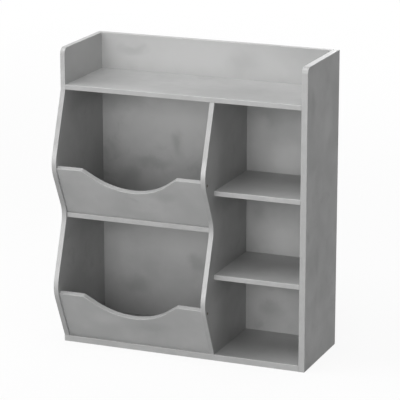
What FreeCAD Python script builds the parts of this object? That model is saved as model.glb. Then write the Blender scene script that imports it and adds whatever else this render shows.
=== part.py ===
import FreeCAD, Part
import math
import os
from collections import namedtuple

Vector = FreeCAD.Vector

# Children's cubby organizer, in millimetres. X runs to the right, Y to the back and Z up.
# The origin is on the floor, under the middle of the whole piece's width and depth.

# The case
overall_width = 616.0
overall_height = 724.0
side_depth = 222.0
cubby_width = 211.0
tray_depth = 88.0
board = 12.0
stout_board = 15.0
back_board = 12.0
edge_ease = 1.2
top_corner_radius = 15.0

# Heights of the surfaces that things stand on
upper_bin_height = 325.0
upper_cubby_height = 415.0
lower_cubby_height = 212.0

# The wave of the left side panel and the divider: where its straight runs would meet.
# The rises are over each bin's floor, and the drop is from the upper one down to the waist.
bulge_depth = 62.0
upper_bulge_rise = 125.0
waist_drop = 2.0
lower_bulge_rise = 133.0
bulge_radius = 70.0
waist_radius = 58.0

# The slanted bin fronts
front_height = 139.0
front_inset = 5.0
scoop_width = 240.0
scoop_depth = 53.0
scoop_flank_angle = 38.0
scoop_corner_radius = 10.0

# Cam locks and their bolts
cam_radius = 7.5
cam_reach = 24.0
cam_below_bolt = 3.5
cam_slot_length = 11.0
cam_slot_width = 2.0
cam_slot_depth = 2.5
bolt_radius = 3.0
bolt_thread_radius = 2.5
bolt_thread_length = 8.0
bolt_clearance = 0.4

# Dowels
dowel_radius = 3.0
dowel_in_face = 8.0
dowel_in_end = 22.0
dowel_end_gap = 1.0

# Screws
head_sink = 0.4
screw_slot_width = 1.2
screw_slot_depth = 1.0
front_screw_drop = 16.0

# Turned pieces and their bores are drawn with flats, which keeps the many small fastenings light
rod_flat_count = 12
cam_flat_count = 24

# Room that a cutting tool runs past the surface it opens
overrun = 1.0
touch = 0.01

# Places along a board's free length, from its first edge to its last
cam_pair_shares = (0.2, 0.8)
one_cam_shares = (0.3,)
mid_dowel_shares = (0.5,)
dowel_pair_shares = (0.25, 0.75)
one_dowel_shares = (0.7,)
foot_screw_shares = (0.2, 0.8)
front_dowel_shares = (0.4,)
wide_shelf_screw_shares = (0.1, 0.5, 0.9)
bin_floor_screw_shares = (0.2, 0.8)
cubby_screw_shares = (0.5,)

Screw = namedtuple("Screw", "radius head_radius bite")
wood_screw = Screw(radius=2.0, head_radius=3.5, bite=26.0)
foot_screw = Screw(radius=3.0, head_radius=5.0, bite=35.0)

Joint = namedtuple("Joint", "kind group boards frame thickness screw")


def wave_reach(foot_height, crest_height, next_height):
    """How far a rounded bulge stands out, between the runs that rise and fall from its crest."""
    below = math.atan2(bulge_depth, crest_height - foot_height)
    above = math.atan2(bulge_depth, next_height - crest_height)
    to_centre = bulge_radius * math.cos((below - above) / 2) / math.cos((below + above) / 2)
    return bulge_depth + bulge_radius - to_centre


# Places worked out from the sizes above
base_top = stout_board
tray_floor = overall_height - tray_depth
top_shelf_bottom = tray_floor - board
upper_bulge_height = upper_bin_height + upper_bulge_rise
waist_height = upper_bin_height - waist_drop
lower_bulge_height = base_top + lower_bulge_rise
reach = max(wave_reach(waist_height, upper_bulge_height, top_shelf_bottom),
            wave_reach(base_top, lower_bulge_height, waist_height))
front_y = (reach - side_depth) / 2
rear_y = front_y + side_depth
back_y = rear_y - back_board
left_x = -overall_width / 2
left_inner_x = left_x + board
right_x = overall_width / 2
right_inner_x = right_x - stout_board
divider_right_x = right_inner_x - cubby_width
divider_left_x = divider_right_x - board
bin_width = divider_left_x - left_inner_x
crest_y = front_y - bulge_depth


def between(low, high, share):
    """The place at a share of the way from low to high."""
    return low + (high - low) * share


def rounded_wire(corners):
    """Closed wire through (point, radius) corners, each rounded by its own radius."""
    arcs = []
    for index, (point, radius) in enumerate(corners):
        back = (corners[index - 1][0] - point).normalize()
        ahead = (corners[(index + 1) % len(corners)][0] - point).normalize()
        half_angle = back.getAngle(ahead) / 2
        run = radius / math.tan(half_angle)
        middle = point + (back + ahead).normalize() * (radius / math.sin(half_angle) - radius)
        arcs.append((point + back * run, middle, point + ahead * run, radius))
    edges = []
    for index, (start, middle, end, radius) in enumerate(arcs):
        edges.append(Part.LineSegment(arcs[index - 1][2], start).toShape())
        if radius > 0:
            edges.append(Part.Arc(start, middle, end).toShape())
    return Part.Wire(edges)


def extruded(corners, run):
    """Solid with rounded corners, drawn along a vector."""
    return Part.Face(rounded_wire(corners)).extrude(run)


def box(low, high):
    """Plain board between two corners."""
    return Part.makeBox(high.x - low.x, high.y - low.y, high.z - low.z, low)


def eased(solid, chosen):
    """The solid with its chosen edges eased, as a board's edges are before it is painted."""
    return solid.makeChamfer(edge_ease, [edge for edge in solid.Edges if chosen(edge)])


def on_side_face(edge):
    """Whether an edge lies in a face that looks left or right."""
    return edge.BoundBox.XLength < touch


def panel_edges(back_edge_y, bottom, top):
    """Test for the edges of an upright panel that show: its front, and its top where that is free."""
    def chosen(edge):
        middle = edge.CenterOfMass
        free = middle.y < back_edge_y - touch and bottom + touch < middle.z < top - touch
        return on_side_face(edge) and free
    return chosen


def front_edges(edge):
    """Whether an edge is a long front edge of a level board."""
    return edge.BoundBox.XLength > touch and edge.BoundBox.YMax < front_y + touch


def wavy_panel(low_x, back_edge_y, top, corner_radius):
    """Upright panel whose front edge swings out twice, from the base board up to its top."""
    def at(y, z):
        return Vector(low_x, y, z)
    corners = [(at(back_edge_y, base_top), 0), (at(back_edge_y, top), 0),
               (at(front_y, top), corner_radius)]
    if top > top_shelf_bottom + touch:
        corners.append((at(front_y, top_shelf_bottom), 0))
    corners += [(at(crest_y, upper_bulge_height), bulge_radius),
                (at(front_y, waist_height), waist_radius),
                (at(crest_y, lower_bulge_height), bulge_radius),
                (at(front_y, base_top), 0)]
    return extruded(corners, Vector(board, 0, 0))


def left_side_panel():
    panel = wavy_panel(left_x, rear_y, overall_height, top_corner_radius)
    return eased(panel, panel_edges(rear_y, base_top, overall_height + overrun))


def divider_panel():
    panel = wavy_panel(divider_left_x, back_y, top_shelf_bottom, 0)
    return eased(panel, panel_edges(back_y, base_top, top_shelf_bottom))


def right_side_panel():
    def at(y, z):
        return Vector(right_inner_x, y, z)
    corners = [(at(rear_y, 0), 0), (at(rear_y, overall_height), 0),
               (at(front_y, overall_height), top_corner_radius), (at(front_y, 0), 0)]
    panel = extruded(corners, Vector(stout_board, 0, 0))
    return eased(panel, panel_edges(rear_y, 0, overall_height + overrun))


def level_board(low_x, high_x, top, thickness, end_y):
    """Level board with a softened front edge."""
    solid = box(Vector(low_x, front_y, top - thickness), Vector(high_x, end_y, top))
    return eased(solid, front_edges)


def top_shelf():
    return level_board(left_inner_x, right_inner_x, tray_floor, board, back_y)


def upper_bin_floor():
    return level_board(left_inner_x, divider_left_x, upper_bin_height, board, back_y)


def upper_cubby_shelf():
    return level_board(divider_right_x, right_inner_x, upper_cubby_height, board, back_y)


def lower_cubby_shelf():
    return level_board(divider_right_x, right_inner_x, lower_cubby_height, board, back_y)


def base_board():
    return level_board(left_x, right_inner_x, base_top, stout_board, rear_y)


def back_panel():
    """Back, set between the side panels and standing on the base board."""
    def long_top_edge(edge):
        return edge.BoundBox.XLength > touch and edge.BoundBox.ZMin > overall_height - touch
    solid = box(Vector(left_inner_x, back_y, base_top), Vector(right_inner_x, rear_y, overall_height))
    return eased(solid, long_top_edge)


def front_lean(foot_height, crest_height):
    """Angle by which a bin front leans out of the upright, in degrees."""
    return math.degrees(math.atan2(bulge_depth, crest_height - foot_height))


def front_frame(foot_height, crest_height, floor):
    """Placement of a bin front: X along its width, Y into the bin and Z up its slope."""
    lean = front_lean(foot_height, crest_height)
    rise = floor - foot_height
    y = front_y - rise * math.tan(math.radians(lean)) + front_inset / math.cos(math.radians(lean))
    return FreeCAD.Placement(Vector(left_inner_x, y, floor), FreeCAD.Rotation(Vector(1, 0, 0), lean))


def upper_front_frame():
    return front_frame(waist_height, upper_bulge_height, upper_bin_height)


def lower_front_frame():
    return front_frame(base_top, lower_bulge_height, base_top)


def scooped_board():
    """Bin front lying in its own frame, with a hand scoop between two level shoulders."""
    def at(x, z):
        return Vector(x, 0, z)
    flank = math.radians(scoop_flank_angle)
    half = scoop_width / 2
    vertex_drop = half * math.tan(flank)
    scoop_radius = (vertex_drop - scoop_depth) * math.cos(flank) / (1 - math.cos(flank))
    middle = bin_width / 2
    corners = [(at(0, -board), 0), (at(0, front_height), 0),
               (at(middle - half, front_height), scoop_corner_radius),
               (at(middle, front_height - vertex_drop), scoop_radius),
               (at(middle + half, front_height), scoop_corner_radius),
               (at(bin_width, front_height), 0), (at(bin_width, -board), 0)]
    return extruded(corners, Vector(0, board, 0))


def bin_front(frame):
    """Scooped board stood on its bin's floor at the slope of the wave, cut level underneath."""
    def shows(edge):
        bounds = edge.BoundBox
        return bounds.YLength < touch and bounds.XLength > touch and bounds.ZMin > 0
    leaning = eased(scooped_board(), shows).transformed(frame.toMatrix())
    floor = frame.Base.z
    under = box(Vector(left_x, crest_y, floor - bin_width), Vector(right_x, rear_y, floor))
    return leaning.cut(under)


def upper_bin_front():
    return bin_front(upper_front_frame())


def lower_bin_front():
    return bin_front(lower_front_frame())


def end_frame(point, outward, face):
    """Placement at a board's end: X runs out of the end, Z out of the face that a cam lock is let into."""
    return FreeCAD.Placement(point, FreeCAD.Rotation(outward, face.cross(outward), face, "XZY"))


def ring(x, radius, flat_count):
    """Closed outline with flats, square to X."""
    turns = [2 * math.pi * flat / flat_count for flat in range(flat_count)]
    points = [Vector(x, radius * math.cos(turn), radius * math.sin(turn)) for turn in turns]
    return Part.makePolygon(points + points[:1])


def rod(frame, start, end, radius):
    """Straight turned piece along a frame's X."""
    solid = Part.Face(ring(start, radius, rod_flat_count)).extrude(Vector(end - start, 0, 0))
    return solid.transformed(frame.toMatrix())


def cam_disc(joint, top):
    """Disc of a cam lock, or its pocket, from under the bolt up to a height over it."""
    outline = ring(-cam_below_bolt, cam_radius, cam_flat_count)
    disc = Part.Face(outline).extrude(Vector(top + cam_below_bolt, 0, 0))
    upright = FreeCAD.Placement(Vector(-cam_reach, 0, 0),
                                FreeCAD.Rotation(Vector(1, 0, 0), Vector(0, 0, 1)))
    return disc.transformed(upright.toMatrix()).transformed(joint.frame.toMatrix())


def cam_lock(joint):
    """Cam lock: a disc with a bore for the bolt's head and a slot for the screwdriver."""
    face = joint.thickness / 2 - head_sink
    slot = Part.makeBox(cam_slot_length, cam_slot_width, cam_slot_depth + overrun,
                        Vector(-cam_reach - cam_slot_length / 2, -cam_slot_width / 2, face - cam_slot_depth))
    slot = slot.transformed(joint.frame.toMatrix())
    return cam_disc(joint, face).cut(rod(joint.frame, -cam_reach, 0, bolt_radius)).cut(slot)


def cam_bolt(joint):
    """Cam bolt: a thread in the panel and a shank that ends in the cam lock."""
    shank = rod(joint.frame, -cam_reach, 0, bolt_radius)
    return shank.fuse(rod(joint.frame, 0, bolt_thread_length, bolt_thread_radius))


def cam_room(joint):
    """Everything bored out for a cam lock and its bolt."""
    pocket = cam_disc(joint, joint.thickness / 2 + overrun)
    shank = rod(joint.frame, -cam_reach, 0, bolt_radius + bolt_clearance)
    thread = rod(joint.frame, 0, bolt_thread_length, bolt_thread_radius)
    return [pocket, shank, thread]


def dowel(joint):
    return rod(joint.frame, -dowel_in_end, dowel_in_face, dowel_radius)


def dowel_room(joint):
    """The dowel's two bores, a little deeper than the dowel is long."""
    return [rod(joint.frame, -dowel_in_end - dowel_end_gap, dowel_in_face + dowel_end_gap, dowel_radius)]


def screw_cone(joint):
    """Countersunk head, which opens from the shank to its full width a little under the outer face."""
    size = joint.screw
    face = joint.thickness - head_sink
    rings = [ring(face - size.head_radius + size.radius, size.radius, rod_flat_count),
             ring(face, size.head_radius, rod_flat_count)]
    return Part.makeLoft(rings, True, True).transformed(joint.frame.toMatrix())


def screw_shank(joint):
    """Shank of a screw, from its tip up to its head."""
    size = joint.screw
    head_start = joint.thickness - head_sink - size.head_radius + size.radius
    return rod(joint.frame, -size.bite, head_start, size.radius)


def screw(joint):
    """Countersunk screw with a slot for the driver."""
    size = joint.screw
    face = joint.thickness - head_sink
    slot = Part.makeBox(screw_slot_depth + overrun, 2 * size.head_radius, screw_slot_width,
                        Vector(face - screw_slot_depth, -size.head_radius, -screw_slot_width / 2))
    return screw_shank(joint).fuse(screw_cone(joint)).cut(slot.transformed(joint.frame.toMatrix()))


def screw_room(joint):
    """The screw's bore and countersink, open at the face that it is driven through."""
    face = joint.thickness - head_sink
    mouth = rod(joint.frame, face, joint.thickness + overrun, joint.screw.head_radius)
    return [screw_shank(joint), screw_cone(joint), mouth]


def shelf_end(shelf, panel, x, side, top, thickness, shares):
    """Cam locks and dowels in a row along one end of a level board."""
    joints = []
    for kind, places in zip(("cam", "dowel"), shares):
        for share in places:
            point = Vector(x, between(front_y, back_y, share), top - thickness / 2)
            frame = end_frame(point, Vector(side, 0, 0), Vector(0, 0, -1))
            joints.append(Joint(kind, shelf, (shelf, panel), frame, thickness, None))
    return joints


def shelf_joints():
    """Fastenings of every level board at its ends."""
    full = (cam_pair_shares, mid_dowel_shares)
    pegged = ((), dowel_pair_shares)
    single = (one_cam_shares, one_dowel_shares)
    bin_floor_top = upper_bin_height
    ends = [("top_shelf", "left_side_panel", left_inner_x, -1, tray_floor, board, full),
            ("top_shelf", "right_side_panel", right_inner_x, 1, tray_floor, board, full),
            ("upper_bin_floor", "left_side_panel", left_inner_x, -1, bin_floor_top, board, full),
            ("upper_bin_floor", "divider_panel", divider_left_x, 1, bin_floor_top, board, full),
            ("base_board", "right_side_panel", right_inner_x, 1, base_top, stout_board, full)]
    for shelf, top in (("upper_cubby_shelf", upper_cubby_height), ("lower_cubby_shelf", lower_cubby_height)):
        ends.append((shelf, "divider_panel", divider_right_x, -1, top, board, pegged))
        ends.append((shelf, "right_side_panel", right_inner_x, 1, top, board, single))
    return [joint for end in ends for joint in shelf_end(*end)]


def upright_joints():
    """Screws up through the base board, and the dowels on top of the divider."""
    joints = []
    for panel, x in (("left_side_panel", left_x + board / 2), ("divider_panel", divider_left_x + board / 2)):
        boards = ("base_board", panel)
        for share in foot_screw_shares:
            point = Vector(x, between(front_y, back_y, share), base_top)
            frame = end_frame(point, Vector(0, 0, -1), Vector(1, 0, 0))
            joints.append(Joint("screw", "base_board", boards, frame, stout_board, foot_screw))
    for share in dowel_pair_shares:
        point = Vector(divider_left_x + board / 2, between(front_y, back_y, share), top_shelf_bottom)
        frame = end_frame(point, Vector(0, 0, 1), Vector(1, 0, 0))
        joints.append(Joint("dowel", "divider", ("divider_panel", "top_shelf"), frame, board, None))
    return joints


def front_joints():
    """A screw near the top and a dowel further down at both ends of each bin front."""
    joints = []
    for front, frame in (("upper_bin_front", upper_front_frame()), ("lower_bin_front", lower_front_frame())):
        for panel, x, side in (("left_side_panel", 0, -1), ("divider_panel", bin_width, 1)):
            boards = (front, panel)
            screw_at = frame.multVec(Vector(x, board / 2, front_height - front_screw_drop))
            place = end_frame(screw_at, Vector(side, 0, 0), Vector(0, 0, 1))
            joints.append(Joint("screw", front, boards, place, board, wood_screw))
            for share in front_dowel_shares:
                dowel_at = frame.multVec(Vector(x, board / 2, front_height * share))
                place = end_frame(dowel_at, Vector(side, 0, 0), Vector(0, 0, 1))
                joints.append(Joint("dowel", front, boards, place, board, None))
    return joints


def back_joints():
    """Dowels from the back's ends into the side panels, and screws through it into the shelves."""
    joints = []
    for panel, x, side in (("left_side_panel", left_inner_x, -1), ("right_side_panel", right_inner_x, 1)):
        for share in dowel_pair_shares:
            point = Vector(x, back_y + back_board / 2, between(base_top, overall_height, share))
            frame = end_frame(point, Vector(side, 0, 0), Vector(0, 0, 1))
            joints.append(Joint("dowel", "back_panel", ("back_panel", panel), frame, back_board, None))
    rows = (("top_shelf", left_inner_x, right_inner_x, tray_floor, wide_shelf_screw_shares),
            ("upper_bin_floor", left_inner_x, divider_left_x, upper_bin_height, bin_floor_screw_shares),
            ("upper_cubby_shelf", divider_right_x, right_inner_x, upper_cubby_height, cubby_screw_shares),
            ("lower_cubby_shelf", divider_right_x, right_inner_x, lower_cubby_height, cubby_screw_shares))
    for shelf, low_x, high_x, top, shares in rows:
        for share in shares:
            point = Vector(between(low_x, high_x, share), back_y, top - board / 2)
            frame = end_frame(point, Vector(0, 1, 0), Vector(0, 0, 1))
            boards = ("back_panel", shelf)
            joints.append(Joint("screw", "back_panel", boards, frame, back_board, wood_screw))
    return joints


ROOMS = {"cam": cam_room, "dowel": dowel_room, "screw": screw_room}
PIECES = {"cam": (("cam_locks", cam_lock), ("cam_bolts", cam_bolt)),
          "dowel": (("dowels", dowel),),
          "screw": (("screws", screw),)}
BOARDS = (left_side_panel, right_side_panel, divider_panel, top_shelf, base_board, back_panel,
          upper_bin_floor, upper_cubby_shelf, lower_cubby_shelf, upper_bin_front, lower_bin_front)


def bored_boards(joints):
    """Every board with the bores of its own fastenings, by its node's name."""
    nodes = {}
    for make in BOARDS:
        name = make.__name__
        rooms = [room for joint in joints if name in joint.boards for room in ROOMS[joint.kind](joint)]
        nodes[name] = make().cut(rooms)
    return nodes


def fastenings(joints):
    """Every group of like fastenings as separate solids, by its node's name."""
    groups = {}
    for joint in joints:
        for suffix, make in PIECES[joint.kind]:
            groups.setdefault(joint.group + "_" + suffix, []).append(make(joint))
    return {name: Part.makeCompound(solids) for name, solids in groups.items()}


def main():
    os.makedirs("parts", exist_ok=True)
    joints = shelf_joints() + upright_joints() + front_joints() + back_joints()
    nodes = bored_boards(joints)
    nodes.update(fastenings(joints))
    for name, shape in nodes.items():
        shape.exportStep("parts/" + name + ".step")
        print(name, len(shape.Solids), "solids", round(shape.Volume), "mm3", shape.isValid())


main()
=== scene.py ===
import logging
import math
from dataclasses import dataclass, field
from enum import Enum
from typing import ClassVar, Iterable, Protocol, Sequence

import bmesh
import bpy
from bmesh.types import BMEdge, BMesh, BMVert
from bpy.types import Material, Node, NodeSocket, NodeTree, Object
from mathutils import Matrix, Vector


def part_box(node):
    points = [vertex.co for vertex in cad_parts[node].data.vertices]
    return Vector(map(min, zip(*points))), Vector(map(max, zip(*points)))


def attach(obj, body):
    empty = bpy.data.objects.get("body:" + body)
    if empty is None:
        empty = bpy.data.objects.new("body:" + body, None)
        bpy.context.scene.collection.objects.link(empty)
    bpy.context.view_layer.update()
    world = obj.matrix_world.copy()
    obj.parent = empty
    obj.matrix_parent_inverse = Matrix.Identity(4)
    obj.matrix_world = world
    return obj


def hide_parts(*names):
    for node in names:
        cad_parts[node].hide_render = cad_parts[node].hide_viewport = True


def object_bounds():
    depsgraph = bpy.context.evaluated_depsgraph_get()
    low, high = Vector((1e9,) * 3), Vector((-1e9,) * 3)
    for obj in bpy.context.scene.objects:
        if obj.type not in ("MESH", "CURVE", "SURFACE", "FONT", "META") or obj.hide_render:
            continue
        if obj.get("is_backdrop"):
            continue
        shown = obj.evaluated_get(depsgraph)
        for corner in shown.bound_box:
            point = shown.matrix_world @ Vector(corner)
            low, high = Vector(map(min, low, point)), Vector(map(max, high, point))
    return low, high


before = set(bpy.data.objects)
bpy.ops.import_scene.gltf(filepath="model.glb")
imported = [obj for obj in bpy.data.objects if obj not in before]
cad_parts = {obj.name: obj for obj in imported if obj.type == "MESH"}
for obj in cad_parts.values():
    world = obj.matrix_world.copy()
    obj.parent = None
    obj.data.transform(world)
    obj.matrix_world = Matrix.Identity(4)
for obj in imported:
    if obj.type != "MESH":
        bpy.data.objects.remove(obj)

# A free-standing cubby organizer for a child's room: a straight and a wavy side panel, a wavy divider,
# five level boards, a back and two slanted fronts with hand scoops, with the cam locks, bolts, dowels
# and screws that hold them together. Lengths are in metres, +Z is up and the front looks towards -Y.

log = logging.getLogger("organizer")

MM = 0.001

# Points nearer to each other than this are one point, after a spin and after a cut.
MERGE = 0.02 * MM
FINE_MERGE = 0.005 * MM
# A point nearer to a plane than this lies on it.
ON_PLANE = 0.2 * MM
# A cutter reaches this far past the surface that it opens.
OVERRUN = 1.0 * MM

# A rounded corner has one step for each of these angles, and at least so many.
ARC_STEP = math.radians(3.0)
LEAST_STEPS = 4
# Two faces that meet at more than this angle show a hard edge.
SHARP_ANGLE = math.radians(32.0)

# A screw with a head narrower than this has the slim shank.
SLIM_HEAD = 4.0 * MM
SLIM_SHANK = 2.0 * MM
STOUT_SHANK = 3.0 * MM

# Cosine to its board's thickness above which a face is a broad one, and below which it is an edge.
FACE_LEAN = 0.995
BAND_LEAN = 0.02

# The share of a patch that has its full strength, and how far a board's patch of marks, painted light or
# painted shade reaches into its board.
PATCH_CORE = 0.1
MARK_AND_LIGHT_DEPTH = 10.0 * MM
# The middle between the wavy panels, and how far a patch on their edges reaches across and in.
BINS_MIDDLE = -0.11
WAVE_REACH = (2.0, 0.3)

Profile = Sequence[tuple[float, float]]
Colour = tuple[float, float, float]
Triple = tuple[float, float, float]


class Slot(Enum):
    """Material slots of the record that a piece can take its finish from."""

    BOARD = "grey_board"
    DOWEL = "beech_dowel"
    CAM = "zinc_cam"
    BOLT = "plated_bolt"
    SCREW = "plated_screw"


class Ease(Enum):
    """How far an edge is eased, as a share of the widest easing."""

    SHARP = 0.0
    CRISP = 0.3
    SOFT = 1.0


class Tone(Enum):
    """Colour of a patch in the paint: darker or lighter for marks in the paint and for painted shade and
    light, and pale for painted highlights.
    """

    DARK = (0.330, 0.333, 0.331)
    LIGHT = (0.540, 0.541, 0.538)
    HIGHLIGHT_PALE = (0.640, 0.641, 0.637)


class Coat(Enum):
    """Finishes of a board, by the order of its materials: its faces, narrow edges and eased edges."""

    FACE = 0
    BAND = 1
    EASED = 2


class Side(Enum):
    """Side of a board that shows: the axis through the board, and which corner of its box is there."""

    FRONT = (1, 0)
    RIGHT = (0, 1)
    TOP = (2, 1)


@dataclass(frozen=True)
class Smudge:
    """A soft patch in a finish: its middle and reach in metres, its strength and its tone."""

    middle: Triple
    reach: Triple
    strength: float
    tone: Tone = Tone.DARK

    @classmethod
    def across_wave(cls, depth: float, height: float, reach: float, strength: float,
                    tone: Tone = Tone.DARK) -> "Smudge":
        """Makes a patch that crosses both wavy edges.

        Args:
            depth: Where its middle lies from front to back, in metres.
            height: How high its middle lies.
            reach: How far it reaches up and down.
            strength: How much of the paint below it covers in its middle.
            tone: Its colour.

        Returns:
            The patch.
        """
        return cls((BINS_MIDDLE, depth, height), (*WAVE_REACH, reach), strength, tone)


@dataclass(frozen=True)
class StainAndPaintedLight:
    """A soft patch on one side of a flat board, a mark in the paint, painted light or painted shade: its
    middle and reach along the side's two axes in metres.
    """

    middle: tuple[float, float]
    reach: tuple[float, float]
    strength: float
    tone: Tone = Tone.DARK

    def on(self, side: Side, node: str) -> Smudge:
        """Puts the patch on a side of a board.

        Args:
            side: The side that shows.
            node: The board's node, which says where that side lies.

        Returns:
            The patch in the paint.
        """
        axis, corner = side.value
        middle, reach = list(self.middle), list(self.reach)
        middle.insert(axis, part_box(node)[corner][axis])
        reach.insert(axis, MARK_AND_LIGHT_DEPTH)
        return Smudge(tuple(middle), tuple(reach), self.strength, self.tone)


# Marks in the paint and patches of painted light and painted shade, by node. A place is across and up on the
# back, front to back and up on an upright panel, and across and front to back on a level board.
STAINS_AND_PAINTED_LIGHT: dict[str, tuple[StainAndPaintedLight, ...]] = {
    "back_panel": (
        # Painted light: a lighter pool over the tray's back.
        StainAndPaintedLight((-0.060, 0.680), (0.450, 0.110), 0.95, Tone.LIGHT),
        StainAndPaintedLight((-0.215, 0.688), (0.060, 0.020), 0.42),
        StainAndPaintedLight((0.072, 0.676), (0.060, 0.042), 0.32),
        # Painted light: a lighter pool on the upper bin's back; the darker patches after it are cloud marks
        # in the paint.
        StainAndPaintedLight((-0.100, 0.520), (0.175, 0.120), 0.98, Tone.LIGHT),
        StainAndPaintedLight((-0.096, 0.466), (0.026, 0.048), 0.66),
        StainAndPaintedLight((-0.166, 0.412), (0.080, 0.020), 0.60),
        StainAndPaintedLight((-0.222, 0.374), (0.040, 0.038), 0.70),
        # Painted light: a lighter pool on the lower bin's back.
        StainAndPaintedLight((-0.080, 0.215), (0.140, 0.090), 0.80, Tone.LIGHT),
        StainAndPaintedLight((-0.210, 0.092), (0.055, 0.030), 0.70),
        StainAndPaintedLight((-0.047, 0.172), (0.036, 0.032), 0.60),
        StainAndPaintedLight((0.148, 0.548), (0.040, 0.036), 0.65),
        # Painted light: lighter pools on the cubbies' backs, between cloud marks in the paint.
        StainAndPaintedLight((0.185, 0.455), (0.110, 0.070), 0.95, Tone.LIGHT),
        StainAndPaintedLight((0.112, 0.500), (0.050, 0.090), 0.55, Tone.LIGHT),
        StainAndPaintedLight((0.112, 0.290), (0.050, 0.090), 0.60, Tone.LIGHT),
        StainAndPaintedLight((0.117, 0.312), (0.032, 0.044), 0.60),
        StainAndPaintedLight((0.175, 0.250), (0.110, 0.070), 0.90, Tone.LIGHT),
        StainAndPaintedLight((0.130, 0.115), (0.120, 0.080), 0.90, Tone.LIGHT),
        StainAndPaintedLight((0.110, 0.105), (0.050, 0.090), 0.60, Tone.LIGHT),
        StainAndPaintedLight((0.150, 0.072), (0.044, 0.030), 0.65),
        # Painted shade: darker bands on the back just under the top shelf, the upper bin's floor and the
        # cubby shelves.
        StainAndPaintedLight((-0.265, 0.575), (0.095, 0.058), 0.98),
        StainAndPaintedLight((-0.260, 0.267), (0.090, 0.052), 0.80),
        StainAndPaintedLight((0.185, 0.576), (0.190, 0.045), 0.66),
        StainAndPaintedLight((0.185, 0.355), (0.190, 0.045), 0.72),
        StainAndPaintedLight((0.210, 0.152), (0.190, 0.045), 0.88),
    ),
    "divider_panel": (
        # Painted light: lighter towards the front edge of the divider's face in each cubby.
        StainAndPaintedLight((-0.092, 0.500), (0.075, 0.110), 0.75, Tone.LIGHT),
        StainAndPaintedLight((-0.080, 0.305), (0.075, 0.090), 0.75, Tone.LIGHT),
        StainAndPaintedLight((-0.085, 0.110), (0.080, 0.090), 0.75, Tone.LIGHT),
        # Painted shade: darker bands on the divider just under the cubby shelves.
        StainAndPaintedLight((0.020, 0.382), (0.150, 0.045), 0.80),
        StainAndPaintedLight((0.020, 0.178), (0.150, 0.045), 0.80),
    ),
    "top_shelf": (
        # Painted shade: darker over the left of the tray's floor.
        StainAndPaintedLight((-0.235, 0.000), (0.150, 0.170), 0.52),
    ),
    "upper_cubby_shelf": (
        # Painted shade over the cubby's floor, under the shelf above it.
        StainAndPaintedLight((0.185, -0.060), (0.220, 0.140), 0.42),
    ),
    "lower_cubby_shelf": (
        # Painted shade over the cubby's floor, under the shelf above it.
        StainAndPaintedLight((0.185, -0.060), (0.220, 0.140), 0.46),
    ),
    "base_board": (
        # Painted shade over the lowest cubby's floor, under the shelf above it.
        StainAndPaintedLight((0.185, -0.060), (0.220, 0.130), 0.42),
    ),
    "left_side_panel": (
        # Painted light: a lighter pool on the panel's face inside the tray.
        StainAndPaintedLight((0.010, 0.690), (0.260, 0.110), 0.95, Tone.LIGHT),
        # Painted shade: darker bands on the panel's face just under the top shelf and the upper bin's floor.
        StainAndPaintedLight((0.045, 0.590), (0.170, 0.050), 0.95),
        StainAndPaintedLight((0.045, 0.280), (0.150, 0.045), 0.75),
    ),
    "right_side_panel": (
        StainAndPaintedLight((-0.046, 0.625), (0.026, 0.060), 0.60),
        StainAndPaintedLight((0.060, 0.560), (0.050, 0.060), 0.50, Tone.LIGHT),
        StainAndPaintedLight((-0.002, 0.236), (0.018, 0.070), 0.60),
        StainAndPaintedLight((0.024, 0.160), (0.044, 0.034), 0.65),
    ),
}

# The bin fronts lean, so their patches are placed in all three directions.
FRONT_SMUDGES: dict[str, tuple[Smudge, ...]] = {
    "upper_bin_front": (
        Smudge((-0.034, -0.113, 0.398), (0.055, 0.050, 0.020), 0.50),
        Smudge((-0.280, -0.113, 0.385), (0.050, 0.080, 0.060), 0.35),
    ),
    "lower_bin_front": (
        Smudge((-0.066, -0.104, 0.074), (0.065, 0.050, 0.020), 0.50),
        Smudge((-0.180, -0.104, 0.080), (0.060, 0.050, 0.030), 0.45, Tone.LIGHT),
    ),
}

# Painted highlight on the crests and upper runs of the wavy edges, which face up towards the lamps, and
# painted shade on the lower runs, which face down.
WAVE_PAINTED_LIGHT: tuple[Smudge, ...] = (
    Smudge.across_wave(-0.13, 0.476, 0.030, 0.75, Tone.HIGHLIGHT_PALE),
    Smudge.across_wave(-0.13, 0.410, 0.046, 0.60),
    Smudge.across_wave(-0.10, 0.358, 0.046, 0.60),
    Smudge.across_wave(-0.10, 0.285, 0.045, 0.45, Tone.HIGHLIGHT_PALE),
    Smudge.across_wave(-0.10, 0.245, 0.045, 0.45, Tone.HIGHLIGHT_PALE),
    Smudge.across_wave(-0.12, 0.205, 0.045, 0.50, Tone.HIGHLIGHT_PALE),
    Smudge.across_wave(-0.13, 0.173, 0.030, 0.65, Tone.HIGHLIGHT_PALE),
    Smudge.across_wave(-0.13, 0.098, 0.045, 0.45),
    Smudge.across_wave(-0.11, 0.056, 0.045, 0.45),
    Smudge.across_wave(-0.09, 0.020, 0.045, 0.40),
)

# Painted shade: one wide patch darkens the rims of both fronts evenly.
SCOOP_PAINTED_SHADE: tuple[Smudge, ...] = (
    Smudge((BINS_MIDDLE, -0.12, 0.250), (3.0, 3.0, 3.0), 0.42),
)


@dataclass(frozen=True)
class Grain:
    """A layer of noise in a finish.

    Attributes:
        lumps: How many lumps lie in a metre.
        detail: How many finer layers are laid over it.
        roughness: How strong the finer layers are.
        distortion: How much the lumps are pulled about.
        span: The part of its range that is spread out from 0 to 1.
    """

    lumps: float
    detail: float = 3.0
    roughness: float = 0.5
    distortion: float = 0.0
    span: tuple[float, float] = (0.0, 1.0)


OUTLINE_GRAIN = Grain(26.0, 4.0)


@dataclass(frozen=True)
class Relief:
    """A fine bump in a finish: its grain, how much of it shows, and its real depth in metres."""

    grain: Grain
    strength: float
    depth: float


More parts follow.
